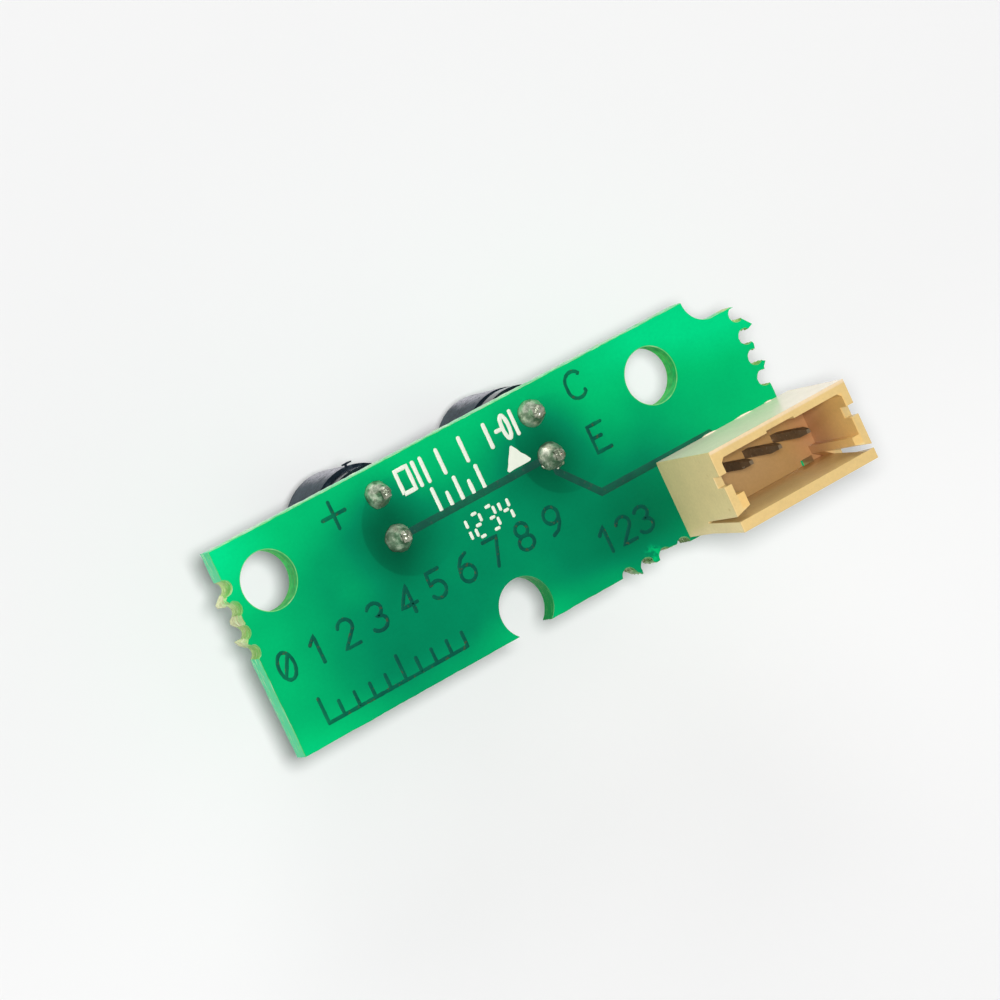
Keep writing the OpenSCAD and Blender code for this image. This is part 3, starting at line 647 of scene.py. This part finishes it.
# painted light and shade in the mask's green, as light through the laminate would give it: lighter towards
# the edges, darker in the shade of the sensors, their flanges and the header
glow = {
    "base": 0.36, "top": (5.0, 0.4), "bottom": (2.0, 0.18), "left": (7.5, 0.31), "right": (14.0, 0.46),
    "core": 0.3, "shadeAt": (-0.35, -0.5), "shadeReach": 4.4, "shadeDepth": 0.3,
    "discAt": (0.9, -0.9), "discReach": 2.72, "discEdge": 0.07, "discDepth": 0.1, "discFade": (-1.5, 3.2),
    "headerAt": (10.6, -7.2), "headerReach": 6.3, "headerDepth": 0.3,
    "lightAndShadePatches": ((17.0, -4.0, 8.0, -0.13), (9.0, -1.0, 3.5, 0.12), (-8.0, -2.0, 2.5, 0.13),
               (-11.0, 3.0, 6.0, -0.14), (6.0, -6.0, 4.5, -0.09), (0.0, -9.0, 4.5, 0.15),
               (-8.0, -9.0, 8.0, -0.06), (-5.0, 1.0, 2.5, -0.12)),
    "bruiseAt": (8.25, -8.7), "bruiseReach": 0.75, "bruiseLight": 0.35, "bruiseSize": 2600,
    "bruiseEdge": (0.42, 0.56), "mottle": 0.03, "mottleSize": 220,
    "stops": ((0.0, (1, 84, 56)), (0.35, (1, 134, 90)), (0.55, (1, 165, 101)), (0.75, (1, 190, 112)),
              (1.0, (1, 216, 134))),
}


def makeGlow():
    group, take, give = newGroup("greenLightAndShade", [], [("Color", "Color")])
    x, y = inMillimetres(group, "XY")
    b, g = board, glow
    level = g["base"]

    def change(operation, amount):
        return sums(group, operation, level, amount)

    gaps = {
        "top": minus(group, b["top"], y), "bottom": minus(group, y, b["bottom"]),
        "left": minus(group, x, b["left"]), "right": minus(group, b["right"], x),
    }
    for side, gap in gaps.items():  # light leaks in from each edge
        level = change("ADD", ramp(group, gap, 0.0, *g[side], 0.0))
    for cx in (-joints["spacing"] / 2, joints["spacing"] / 2):
        # painted shade around each sensor
        far = distanceTo(group, x, y, cx + g["shadeAt"][0], g["shadeAt"][1])
        level = change("SUBTRACT", ramp(group, far, g["core"], g["shadeReach"], g["shadeDepth"], 0.0))
        # painted shadow of each sensor's flange, a disc seen through the laminate
        disc = distanceTo(group, x, y, cx + g["discAt"][0], g["discAt"][1])
        rim = (g["discReach"] - g["discEdge"], g["discReach"] + g["discEdge"])
        disc = ramp(group, disc, *rim, g["discDepth"], 0.0)
        fade = ramp(group, x, *(cx + gap for gap in g["discFade"]), 1.0, 0.1)  # clear only on its left
        level = change("SUBTRACT", times(group, disc, fade))
    # painted shade of the header
    far = distanceTo(group, x, y, *g["headerAt"])
    level = change("SUBTRACT", ramp(group, far, 0.5, g["headerReach"], g["headerDepth"], 0.0))
    for cx, cy, reach, amount in g["lightAndShadePatches"]:  # painted patches of light and shade
        level = change("ADD", ramp(group, distanceTo(group, x, y, cx, cy), g["core"], reach, amount, 0.0))
    far = distanceTo(group, x, y, *g["bruiseAt"])
    bruise = ramp(group, far, 0.2, g["bruiseReach"], g["bruiseLight"], 0.0)
    ragged = ramp(group, cloud(group, objectPoint(group), g["bruiseSize"]), *g["bruiseEdge"])
    level = change("ADD", times(group, bruise, ragged))
    mottle = cloud(group, objectPoint(group), g["mottleSize"], 2.0)
    level = change("ADD", ramp(group, mottle, *noiseSpread, -g["mottle"], g["mottle"], smooth=False))
    table = place(group, "ShaderNodeValToRGB")
    stops = table.color_ramp.elements
    while len(stops) < len(g["stops"]):
        stops.new(0.5)
    for stop, (where, color) in zip(stops, g["stops"]):
        stop.position = where
        stop.color = (*screenColor(*color), 1)
    feed(group, table.inputs[0], level)
    feed(group, give["Color"], table.outputs[0])
    return group


greenLightAndShade = makeGlow()
greenLook = {
    "uneven": (-0.16, 0.08), "unevenSize": 1100, "bareSize": 3600.0, "bareStrength": 0.6,
    "grain": (0.1, 5200.0), "dust": ((60, 225, 180), 2600.0, -0.05, 0.8), "relief": (0.1, 0.01),
    "trace": {"dark": (24, 68, 60), "share": 0.8, "bare": (50, 82, 70), "cover": 0.34},
    "etch": {"dark": (6, 72, 62), "share": 0.86, "bare": (76, 72, 44), "cover": 0.34},
}


def greenFinish(name, roughness, gloss, copper=None):
    look = greenLook
    mat, tree, skin = newMaterial(name, gloss, Roughness=roughness)
    color = useGroup(tree, greenLightAndShade)["Color"]
    if copper:
        low, high = (copper["share"] + change for change in look["uneven"])
        patches = cloud(tree, objectPoint(tree), look["unevenSize"])
        share = ramp(tree, patches, *noiseSpread, low, high, smooth=False)
        color = tinted(tree, share, color, copper["dark"])
        bare = (copper["bare"], look["bareSize"], copper["cover"], look["bareStrength"])
        color = withSpots(tree, color, *bare)  # flecks where the skin over the copper is thin
    grained = withGrain(tree, color, *look["grain"])
    dusty = withSpots(tree, grained["Color"], *look["dust"])
    coat(tree, skin, dusty, grained["Height"], *look["relief"])
    return mat


maskGreen = greenFinish("maskGreen", 0.35, 0.03)
traceGreen = greenFinish("traceGreen", 0.45, 0.08, greenLook["trace"])
etchGreen = greenFinish("etchGreen", 0.45, 0.05, greenLook["etch"])
makeBoard()
print("board is made")


def arc(cx, cy, rx, ry, a0, a1, n=14):
    turns = [math.radians(a0 + (a1 - a0) * k / n) for k in range(n + 1)]
    return [(cx + rx * math.cos(a), cy + ry * math.sin(a)) for a in turns]


glyphs = {
    "0": [arc(0.31, 0.5, 0.31, 0.5, 0, 360, 28), [(0.12, 0.15), (0.5, 0.85)]],
    "1": [[(0.12, 0.74), (0.38, 1.0), (0.38, 0.0)]],
    "2": [arc(0.31, 0.72, 0.29, 0.28, 165, -38) + [(0.02, 0.0), (0.62, 0.0)]],
    "3": [arc(0.28, 0.75, 0.29, 0.25, 150, -80) + arc(0.28, 0.26, 0.33, 0.26, 88, -150)],
    "4": [[(0.45, 0.0), (0.45, 1.0), (0.0, 0.3), (0.64, 0.3)]],
    "5": [[(0.58, 1.0), (0.08, 1.0), (0.05, 0.55)] + arc(0.28, 0.31, 0.32, 0.31, 125, -150)],
    "6": [arc(0.31, 0.3, 0.3, 0.3, 170, 530, 26), [(0.01, 0.32), (0.08, 0.66), (0.26, 0.9), (0.5, 1.0)]],
    "7": [[(0.0, 1.0), (0.6, 1.0), (0.22, 0.0)]],
    "8": [arc(0.31, 0.75, 0.25, 0.25, -90, 270, 24), arc(0.31, 0.26, 0.31, 0.26, 90, 450, 24)],
    "9": [arc(0.31, 0.7, 0.3, 0.3, -10, 350, 26), [(0.61, 0.68), (0.54, 0.34), (0.36, 0.1), (0.12, 0.0)]],
    "C": [[(0.66, 0.84)] + arc(0.4, 0.62, 0.38, 0.38, 40, 180, 10)
          + arc(0.4, 0.38, 0.38, 0.38, 180, 320, 10) + [(0.68, 0.2)]],
    "E": [[(0.6, 1.0), (0.0, 1.0), (0.0, 0.0), (0.62, 0.0)], [(0.0, 0.53), (0.42, 0.53)]],
}


def written(text, x, y, high, pitch):
    paths = []
    for k, char in enumerate(text):
        for path in glyphs[char]:
            paths.append([(x + k * pitch + px * high, y + py * high) for px, py in path])
    return paths


ribbon = {
    "section": ((-1, 0), (-0.82, 0.75), (-0.4, 1), (0.4, 1), (0.82, 0.75), (1, 0)),
    "ends": (0.25, 0.6, 1.0, 1.3), "step": 0.2, "longest": 0.3, "apart": 0.08, "ripple": 9, "widest": 1.25,
}


def ribbons(name, paths, width, rise, mat, slotName, seed=0, rough=0.0):
    vertices, faces = [], []
    section, ends = ribbon["section"], ribbon["ends"]
    across = len(section)
    for number, path in enumerate(paths):
        crest = rise * (1 + ribbon["apart"] * (number % 4))  # strokes that cross keep apart
        line = [Vector(path[0])]
        for p in path[1:]:
            p = Vector(p)
            while (p - line[-1]).length > ribbon["longest"]:
                line.append(line[-1] + (p - line[-1]).normalized() * ribbon["step"])
            if (p - line[-1]).length > 1e-4:
                line.append(p)
        closed = (line[0] - line[-1]).length < 1e-3 and len(line) > 8
        first, last = (line[1] - line[0]).normalized(), (line[-1] - line[-2]).normalized()
        rows = []
        if not closed:
            rows += [(line[0] - first * width / 2 * math.cos(a), first, math.sin(a)) for a in ends]
        for k, p in enumerate(line):
            ahead = (line[min(k + 1, len(line) - 1)] - p).normalized() if k < len(line) - 1 else last
            behind = (p - line[max(k - 1, 0)]).normalized() if k else ahead
            way = (ahead + behind).normalized() if (ahead + behind).length > 0.1 else ahead
            rows.append((p, way, min(ribbon["widest"], 1 / max(0.6, way.dot(ahead)))))
        if not closed:
            rows += [(line[-1] + last * width / 2 * math.cos(a), last, math.sin(a)) for a in reversed(ends)]
        base = len(vertices)
        for p, way, scale in rows:
            side = Vector((-way.y, way.x))
            ripple = noise.noise(Vector((p.x * ribbon["ripple"], p.y * ribbon["ripple"], seed)))
            half = width / 2 * scale * (1 + rough * ripple)
            for out, up in section:
                q = p + side * half * out
                vertices.append((q.x, q.y, crest * up * min(1.0, scale)))
        for r in range(len(rows) - 1):
            for c in range(across - 1):
                a = base + r * across + c
                faces.append((a, a + 1, a + across + 1, a + across))
        end = base + (len(rows) - 1) * across
        faces.append(tuple(base + c for c in range(across)))
        faces.append(tuple(end + across - 1 - c for c in range(across)))
    return newPiece(name, vertices, faces, [mat], slotName, sharpAngle=70)


marks = {
    "trackWidth": 0.415, "trackRise": 0.03, "bend": (1.9, -4.33), "slope": 2.13, "stopShort": 0.9,
    "stroke": 0.21, "rise": 0.018, "plusAt": (-7.85, 1.4), "plusArm": (0.72, 0.75),
    "texts": (("C", 7.66, 0.75, 1.5, 1), ("E", 7.78, -2.35, 1.5, 1),
              ("0123456789", -14.35, -5.15, 1.5, 1.94)),
    "number": ("123", 5.55, -7.45, 1.45, 1.3),
    "scaleAt": (-13.1, -8.1), "scaleTicks": 10, "longTick": 1.4, "shortTick": 0.8,
}


def makeTracks():
    m = marks
    half, pitch = joints["spacing"] / 2, joints["pitch"] / 2
    bendX, bendY = half + m["bend"][0], m["bend"][1]
    link = [(-half, -pitch), (half, -pitch)]
    run = [(half, -pitch), (half, bendY + m["slope"]), (bendX, bendY)]
    run.append((joints["pinX"][1] - m["stopShort"], bendY))
    size = (m["trackWidth"], m["trackRise"])
    tracks = ribbons("frontTracks", [link, run], *size, traceGreen, "copper", 1, 0.06)
    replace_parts(tracks, "copper_front")
    (x, y), (armX, armY) = m["plusAt"], m["plusArm"]
    paths = [[(x - armX, y), (x + armX, y)], [(x, y - armY), (x, y + armY)]]
    for text in m["texts"]:
        paths += written(*text)
    x, y = m["scaleAt"]
    for k in range(m["scaleTicks"]):
        paths.append([(x + k, y), (x + k, y + (m["longTick"] if k % 5 == 0 else m["shortTick"]))])
    paths.append([(x, y), (x + m["scaleTicks"] - 1, y)])
    paths += written(*m["number"])
    etched = ribbons("etchedMarks", paths, m["stroke"], m["rise"], etchGreen, "etched_copper", 4, 0.25)
    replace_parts(etched, "etched_marks")


def dashedDigits(text, x, y, high, pitch):
    wide, gap = high * 0.42, high * 0.14
    bars = {
        "a": [(gap, high), (wide - gap, high)], "b": [(wide, high - gap), (wide, high / 2 + gap)],
        "c": [(wide, high / 2 - gap), (wide, gap)], "d": [(gap, 0), (wide - gap, 0)],
        "e": [(0, high / 2 - gap), (0, gap)], "f": [(0, high - gap), (0, high / 2 + gap)],
        "g": [(gap, high / 2), (wide - gap, high / 2)],
    }
    lit = {"1": "bc", "2": "abged", "3": "abgcd", "4": "fgbc"}
    paths = []
    for k, char in enumerate(text):
        paths += [[(x + k * pitch + px, y + py) for px, py in bars[s]] for s in lit[char]]
    return paths


inkMarks = {
    "rise": 0.02, "stroke": 0.235, "dash": 0.185, "upperRow": (-3.65, 0.62), "upperHigh": 1.3, "box": 0.75,
    "pair": (1.15, 1.65), "singles": (-0.95, 0.55, 2.2), "hyphen": (2.75, 3.02), "ring": (3.38, 0.2),
    "last": 3.95,
    "lowerRow": (-2.1, -1.05), "lowerHigh": 1.22, "lowerPitch": 0.72, "lowerShort": 0.55,
    "digits": ("1234", -1.7, -3.35, 1.3, 0.92), "pointer": ((2.34, -1.0), (4.0, -0.96), (3.14, 0.3)),
}


def makeInk():
    i = inkMarks
    pinholes = ((150, 205, 170), 2600, 0.05, 0.6)
    ink = finish("whiteInk", (230, 236, 220), 0.08, 3500, pinholes, Roughness=0.6)
    (x, y), high = i["upperRow"], i["upperHigh"]
    paths = [[(x, y), (x + i["box"], y), (x + i["box"], y + high), (x, y + high), (x, y - 0.001)]]
    upright = [x + gap for gap in i["pair"]] + list(i["singles"])
    paths += [[(v, y), (v, y + high)] for v in upright]
    paths += [[(v, y + high / 2) for v in i["hyphen"]]]
    paths += [arc(i["ring"][0], y + high / 2, i["ring"][1], high / 2, 0, 360, 24)]
    paths += [[(i["last"], y), (i["last"], y + high)]]
    (x, y), high = i["lowerRow"], i["lowerHigh"]
    for k in range(5):
        v = x + k * i["lowerPitch"]
        paths.append([(v, y), (v, y + high * (1 if k % 2 == 0 else i["lowerShort"]))])
    strokes = ribbons("inkStrokes", paths, i["stroke"], i["rise"], ink, "ink", 8, 0.16)
    ribbons("inkDashes", dashedDigits(*i["digits"]), i["dash"], i["rise"], ink, "ink", 5, 0.2)
    corners = i["pointer"]
    rim = []
    for k in range(3):
        a, b = Vector(corners[k]), Vector(corners[(k + 1) % 3])
        for u in (0.07, 0.3, 0.5, 0.7, 0.93):
            ragged = Vector((wobble(u * 9, k, 2, 0.05), wobble(k, u * 9, 3, 0.05)))
            rim.append((*(a + (b - a) * u + ragged), cut))
    newPiece("inkPointer", *slab(rim, [], 0.0, i["rise"])[:2], [ink], "ink")
    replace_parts(strokes, "ink_marks")


makeTracks()
makeInk()
print("tracks and marks are made")


solder = {
    "around": 40, "bury": 0.03, "sunk": 0.12, "backTall": 0.12, "pinTall": 0.75,
    "profile": ((0.0, 0.74), (0.12, 0.715), (0.3, 0.65), (0.45, 0.56), (0.6, 0.47), (0.75, 0.4),
                (0.88, 0.355), (0.98, 0.325), (1.05, 0.28), (1.11, 0.2), (1.14, 0.1)),
}
blobLooks = (
    (3, (0.05, 0.02), 1.0, 1.0, 1.0, (0.12, 0.16), 0),
    (8, (0.04, 0.02), 1.03, 0.99, 1.05, (0.12, 0.12), 2),
    (15, (0.02, 0.0), 1.03, 1.02, 1.15, (0.06, 0.07), 2),
    (22, (0.05, -0.02), 1.06, 0.98, 1.05, (0.14, 0.18), 2),
)
blobs = [dict(zip(("seed", "lean", "fat", "tall", "neck", "stub", "pit"), look)) for look in blobLooks]
lobes = (  # drops at the foot: which joint, where, radius
    (3, (-0.62, -0.3), 0.16), (3, (0.42, -0.56), 0.2), (3, (0.1, -0.7), 0.13), (1, (0.6, -0.35), 0.12),
    (2, (-0.66, -0.1), 0.1),
)


def revolved(rows, around, shape, dark=0):
    vertices, faces = [], []
    for j, (r, z) in enumerate(rows):
        for k in range(around):
            a = 2 * math.pi * k / around
            vertices.append(shape(r, z, math.cos(a), math.sin(a), j))
    for j in range(len(rows) - 1):
        for k in range(around):
            a, b = j * around + k, j * around + (k + 1) % around
            faces.append((a, b, b + around, a + around))
    faces += [tuple((len(rows) - 1) * around + k for k in range(around)), tuple(reversed(range(around)))]
    tags = [0] * (len(faces) - 2 - dark * around) + [1] * (dark * around) + [1 if dark else 0, 0]
    return vertices, faces, tags


def blob(x, y, low, spec, flip, tall):
    seed, neck = spec["seed"], spec.get("neck", 1.0)
    rows = [(r * spec["fat"] * (1 + (neck - 1) * min(1, z)), z * tall) for z, r in solder["profile"]]
    rows = [(rows[0][0], -solder["bury"])] + rows
    leanX, leanY = spec["lean"]

    def shape(r, z, c, s, row):
        lump = 1 + 0.08 * noise.noise(Vector((c * 1.3 + seed, s * 1.3, z * 1.6)))
        lump += 0.05 * noise.noise(Vector((c * 3 + seed, s * 3, z * 4)))
        lump += 0.015 * noise.noise(Vector((c * 11, s * 11 + seed, z * 14)))
        lift = z * (1 + 0.08 * noise.noise(Vector((c * 2, s * 2, seed + z * 3)))) if z > 0 else z
        return x + r * lump * c + leanX * z, y + r * lump * s + leanY * z, low + flip * lift

    return revolved(rows, solder["around"], shape)


def stub(x, y, low, spec):
    wide, high = spec["stub"]

    def shape(r, z, c, s, row):
        square = 1 / max(abs(c), abs(s)) ** 0.3
        square *= 1 + 0.35 * noise.noise(Vector((c * 1.6, s * 1.6, spec["seed"] + z)))
        px, py = r * square * c, r * square * s * 0.85
        rough = 0.03 * noise.noise(Vector((px * 16, py * 16, spec["seed"]))) if row else 0
        return x + px, y + py, low + z + rough + (0.18 * px if row else 0)

    rows = [(wide * 1.1, 0), (wide, high * 0.7), (wide * 0.88, high), (wide * 0.62, high)]
    rows += [(wide * 0.5, high - 0.05), (wide * 0.2, high - 0.07)]
    return revolved(rows, 20, shape, spec["pit"])


def lobe(x, y, r, seed):
    def shape(wide, z, c, s, row):
        k = 1 + 0.3 * noise.noise(Vector((c * 1.5 + seed, s * 1.5, row)))
        return x + wide * k * c, y + wide * k * s, z

    rows = [(r, -solder["bury"])]
    rows += [(r * math.cos(a), r * 0.75 * math.sin(a)) for a in (0.0, 0.4, 0.8, 1.15, 1.4)]
    return revolved(rows, 20, shape)


tinLook = {
    "dull": (142, 156, 134), "bright": (236, 236, 216), "patchSize": 1900, "patchEdge": (0.4, 0.62),
    "grain": (0.25, 5200.0), "dark": ((96, 108, 84), 2300.0, 0.25, 0.5), "relief": (0.5, 0.03),
    "fluxAndShade": (58, 84, 56), "fluxAndShadeHigh": 0.1, "fluxAndShadeShare": 0.8,
    "crown": (82, 88, 70), "crownFrom": 0.92, "crownTo": 1.06, "crownShare": 0.6,
}


def tinFinish():
    look = tinLook
    mat, tree, skin = newMaterial("tinSolder", Metallic=0.82, Roughness=0.32)
    patches = cloud(tree, objectPoint(tree), look["patchSize"], 4.0, 0.62)
    share = ramp(tree, patches, *look["patchEdge"])
    color = tones(tree, share, look["dull"], look["bright"])
    grained = withGrain(tree, color, *look["grain"])
    dark = withSpots(tree, grained["Color"], *look["dark"])
    height = inMillimetres(tree, "Z")[0]
    crown = ramp(tree, height, look["crownFrom"], look["crownTo"], 0.0, look["crownShare"])
    topped = tinted(tree, crown, dark, look["crown"])  # the cut lead ends have gone dull
    foot = ramp(tree, sums(tree, "ABSOLUTE", height), 0.0, look["fluxAndShadeHigh"], look["fluxAndShadeShare"], 0.0)
    fluxedAndShaded = tinted(tree, foot, topped, look["fluxAndShade"])  # a film of flux and painted contact shade at the foot
    coat(tree, skin, fluxedAndShaded, plus(tree, patches, grained["Height"]), *look["relief"])
    return mat


tin = tinFinish()


def makeSolder():
    flecks = ((196, 186, 168), 3500, 0.4, 0.7)
    values = {"Metallic": 0.6, "Roughness": 0.45}
    cutEnd = finish("clippedEnd", (104, 92, 76), 0.4, 4000, flecks, (0.6, 0.03), **values)

    def joint(name, node, parts):
        vertices, faces, tags = joinParts(parts)
        piece = newPiece(name, vertices, faces, [tin, cutEnd], "solder", tags, sharpAngle=60)
        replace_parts(piece, node)

    low = -board["thick"]
    for name, node, pair in (
        ("emitterJoints", "emitter_solder", (0, 1)), ("receiverJoints", "receiver_solder", (2, 3)),
    ):
        parts = []
        for k in pair:
            (x, y), spec = jointPlaces[k], blobs[k]
            parts.append(blob(x, y, 0.0, spec, 1, spec["tall"]))
            top = solder["profile"][-1][0] * spec["tall"]
            leanX, leanY = spec["lean"]
            parts.append(stub(x + leanX * top, y + leanY * top, top - solder["sunk"], spec))
            parts += [lobe(x + dx, y + dy, r, k + r) for where, (dx, dy), r in lobes if where == k]
            flat = {"seed": spec["seed"] + 40, "lean": (0, 0), "fat": 0.95}
            parts.append(blob(x, y, low, flat, -1, solder["backTall"]))
        joint(name, node, parts)
    parts = []
    for x, y in pinPlaces:
        spec = {"seed": 60 + x, "lean": (0.03, 0.02), "fat": 0.95}
        parts.append(blob(x, y, low, spec, -1, solder["pinTall"]))
    joint("headerJoints", "header_solder", parts)


makeSolder()
print("solder is made")


def dress(names, mat, bevel=0.0):
    for name in names:
        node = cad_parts[name]
        node.data.materials.clear()
        node.data.materials.append(mat)
        if bevel:
            rounding = node.modifiers.new("softEdge", "BEVEL")
            rounding.width = bevel * mm
            rounding.segments = 2
            rounding.limit_method = "ANGLE"
            rounding.angle_limit = math.radians(40)
            rounding.harden_normals = False


header = {
    "left": 11.2, "right": 19.7, "bottom": -8.35, "top": -4.95, "rim": 5.9, "reach": 4.4, "endWall": 10.8,
}
nylonLook = {
    "base": (234, 206, 142), "topWall": (255, 238, 216), "endWall": (246, 222, 164), "rim": (240, 200, 124),
    "worn": ((214, 178, 120), 700.0, 0.12, 0.5), "insideGlow": (246, 202, 122), "insideGlowShare": 0.85,
    "lowUpper": (255, 234, 170), "lowFoot": (226, 182, 116), "lowTurns": (4.0, 1.8), "lowFloor": (1.3, 1.7),
    "deepLeft": (172, 134, 84), "deepRight": (184, 130, 90), "deepTurns": (17.5, 19.6), "deepShare": 0.85,
    "smooth": (0.1, 1500.0), "fine": (0.12, 6000.0), "relief": (0.25, 0.02),
}


def nylonFinish():
    h, look = header, nylonLook
    mat, tree, skin = newMaterial("creamNylon", Roughness=0.26)
    x, y, z = inMillimetres(tree, "XYZ")
    inside = ramp(tree, x, h["left"] - 0.05, h["left"] + 0.1)
    for at, wall, way in ((x, h["right"], -1), (y, h["bottom"], 1), (y, h["top"], -1)):
        inside = times(tree, inside, ramp(tree, at, wall - way * 0.05, wall + way * 0.1))
    lowFace = ramp(tree, y, h["bottom"] + 0.5, h["bottom"] + 0.25)  # the inner face of the low wall, painted lighter as if it caught the light
    lowFace = times(tree, lowFace, ramp(tree, z, *look["lowFloor"]))
    grained = withGrain(tree, screenColor(*look["base"]), *look["smooth"])
    # painted reflection: the outer face of the top wall is paler
    onTop = ramp(tree, y, h["top"] + 0.35, h["top"] + 0.5)
    color = tinted(tree, onTop, grained["Color"], look["topWall"])
    # painted light: the outer face of the end wall is paler
    onEnd = ramp(tree, x, h["endWall"], h["endWall"] - 0.08)
    color = tinted(tree, onEnd, color, look["endWall"])
    color = withSpots(tree, color, *look["worn"])
    onRim = ramp(tree, z, h["rim"] - 0.08, h["rim"] - 0.02, 0.0, 0.5)
    color = tinted(tree, onRim, color, look["rim"])
    # painted light and shade on the low wall: lighter at the top, darker at its foot
    lowTurn = ramp(tree, z, *look["lowTurns"])
    lowWallShading = tones(tree, lowTurn, look["lowUpper"], look["lowFoot"])
    # painted light: the inside of the housing is a warmer cream, the glow of light bouncing within it
    insideGlow = blendColor(tree, lowFace, screenColor(*look["insideGlow"]), lowWallShading)
    color = blendColor(tree, times(tree, inside, look["insideGlowShare"]), color, insideGlow)
    # painted shade: the inside darkens with depth, less on the low wall
    depth = ramp(tree, z, h["rim"] - 0.3, h["rim"] - h["reach"], 0.0, look["deepShare"])
    depth = times(tree, depth, sums(tree, "MULTIPLY_ADD", lowFace, -0.9, 1.0))
    along = ramp(tree, x, *look["deepTurns"])
    darkest = tones(tree, along, look["deepLeft"], look["deepRight"])
    color = blendColor(tree, times(tree, inside, depth), color, darkest)
    color = withGrain(tree, color, *look["fine"])["Color"]
    coat(tree, skin, color, grained["Height"], *look["relief"])
    return mat


pinLook = {
    "base": (138, 118, 92), "flecks": ((190, 178, 156), 4200.0, 0.3, 0.5), "tip": (112, 96, 72),
    "tipTurns": (4.78, 4.86), "tipShare": 0.7, "grain": (0.5, 4500.0), "relief": (0.5, 0.03),
}


def pinFinish():
    look = pinLook
    mat, tree, skin = newMaterial("dullPin", Metallic=0.5, Roughness=0.45)
    height = inMillimetres(tree, "Z")[0]
    tip = ramp(tree, height, *look["tipTurns"], 0.0, look["tipShare"])  # the ends are tarnished
    grained = withGrain(tree, screenColor(*look["base"]), *look["grain"])
    flecked = withSpots(tree, grained["Color"], *look["flecks"])
    color = tinted(tree, tip, flecked, look["tip"])
    coat(tree, skin, color, grained["Height"], *look["relief"])
    return mat


nylon = nylonFinish()
dress(["header_housing"], nylon, 0.05)
dress(["header_pin_1", "header_pin_2", "header_pin_3"], pinFinish(), 0.03)
flash = {"slivers": ((13.9, 1.0), (16.2, 1.25), (18.35, 0.5)), "foot": 0.58, "proud": 0.075, "high": 0.14}


def makeFlash():  # slivers of nylon squeezed out along the foot of the inner long wall
    parts = []
    foot = header["top"] + flash["foot"]
    for x, length in flash["slivers"]:
        ridge = []
        for u in (0.96, 0.8, 0.6, 0.4, 0.2, 0.04):
            proud = flash["proud"] * math.sin(math.pi * u) ** 0.5 + wobble(u * 6, x, 1, 0.02)
            ridge.append((x + length * u, foot + proud))
        parts.append(slab([(x, foot), (x + length, foot)] + ridge, [], 0.0, flash["high"]))
    newPiece("housingFlash", *joinParts(parts)[:2], [nylon], "housing", smooth=False)


makeFlash()
print("header is dressed")


sheenAndGrain = {
    "way": (0.26, 0.966, 0.0), "patch": 0.035, "patchSize": 1200, "rimTurns": (0.5, 0.9),
    "specks": (4600.0, 0.42, 0.7), "grainSize": 6200.0, "relief": 0.8, "deep": 0.03,
}
bodyLooks = {  # dark, light and rim colours (the light one a painted sheen, the rim one painted shade), grain, where the painted sheen starts and is full, roughness, gloss
    "smokedEpoxy": ((16, 24, 34), (104, 112, 126), (14, 28, 38), 0.2, (0.94, 1.02), 0.18, 0.3),
    "blackEpoxy": ((16, 24, 34), (140, 154, 168), (14, 28, 38), 0.2, (0.92, 1.02), 0.18, 0.3),
    "cutTube": ((58, 72, 82), (206, 204, 214), (24, 38, 50), 0.7, (0.76, 1.0), 0.5, 0.1),
}


def bodyFinish(name):
    dark, light, rim, amount, reach, roughness, gloss = bodyLooks[name]
    mat, tree, skin = newMaterial(name, gloss, Roughness=roughness)
    coordinates = place(tree, "ShaderNodeTexCoord").outputs
    facing = vectorSums(tree, "DOT_PRODUCT", coordinates["Normal"], sheenAndGrain["way"])
    patches = cloud(tree, coordinates["Object"], sheenAndGrain["patchSize"])
    patches = ramp(tree, patches, *noiseSpread, -sheenAndGrain["patch"], sheenAndGrain["patch"], smooth=False)
    dust = ramp(tree, plus(tree, facing, patches), *reach)
    color = tones(tree, dust, dark, light)  # painted sheen: paler on the side that faces the light
    # painted shade: faces turned up towards the board are darker
    onRim = ramp(tree, splitAxes(tree, coordinates["Normal"])["Z"], *sheenAndGrain["rimTurns"])
    color = tinted(tree, onRim, color, rim)
    speckled = withSpots(tree, color, dark, *sheenAndGrain["specks"])
    grained = withGrain(tree, speckled, amount, sheenAndGrain["grainSize"])
    coat(tree, skin, grained["Color"], grained["Height"], amount * sheenAndGrain["relief"], sheenAndGrain["deep"])
    return mat


cutTube = bodyFinish("cutTube")
dress(["emitter_lens"], bodyFinish("smokedEpoxy"))
dress(["receiver_lens"], bodyFinish("blackEpoxy"))
dress(["emitter_sleeve", "receiver_sleeve"], cutTube, 0.05)
shred = {
    "outline": ((-4.98, 2.98), (-4.72, 3.0), (-4.76, 3.16), (-4.46, 3.18), (-4.4, 3.24), (-4.66, 3.28),
                (-5.0, 3.27), (-5.02, 3.2), (-4.86, 3.16)),
    "low": -2.78, "high": -2.68,
}


def makeShred():  # left by the knife on the emitter sleeve's rim
    outline = [(x + wobble(x * 9, y * 9, 4, 0.02), y) for x, y in shred["outline"]]
    vertices, faces = slab(outline, [], shred["low"], shred["high"])[:2]
    newPiece("sleeveShred", vertices, faces, [cutTube], "sleeve", smooth=False)


makeShred()
dress([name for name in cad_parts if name.endswith("_lead")], tin, 0.2)
crystal = finish("chipCrystal", (70, 70, 84), 0.2, 9000, Roughness=0.2)
gold = finish("goldWire", (220, 178, 84), 0.1, 9000, Metallic=1.0, Roughness=0.25)
copper = finish("copperFoil", (196, 128, 78), 0.2, 1500, Metallic=0.9, Roughness=0.35)
dress(["emitter_chip", "receiver_chip"], crystal)
dress(["emitter_bond_wire", "receiver_bond_wire"], gold)
dress(["copper_back", "plated_holes"], copper)
print("emitter and receiver are dressed")
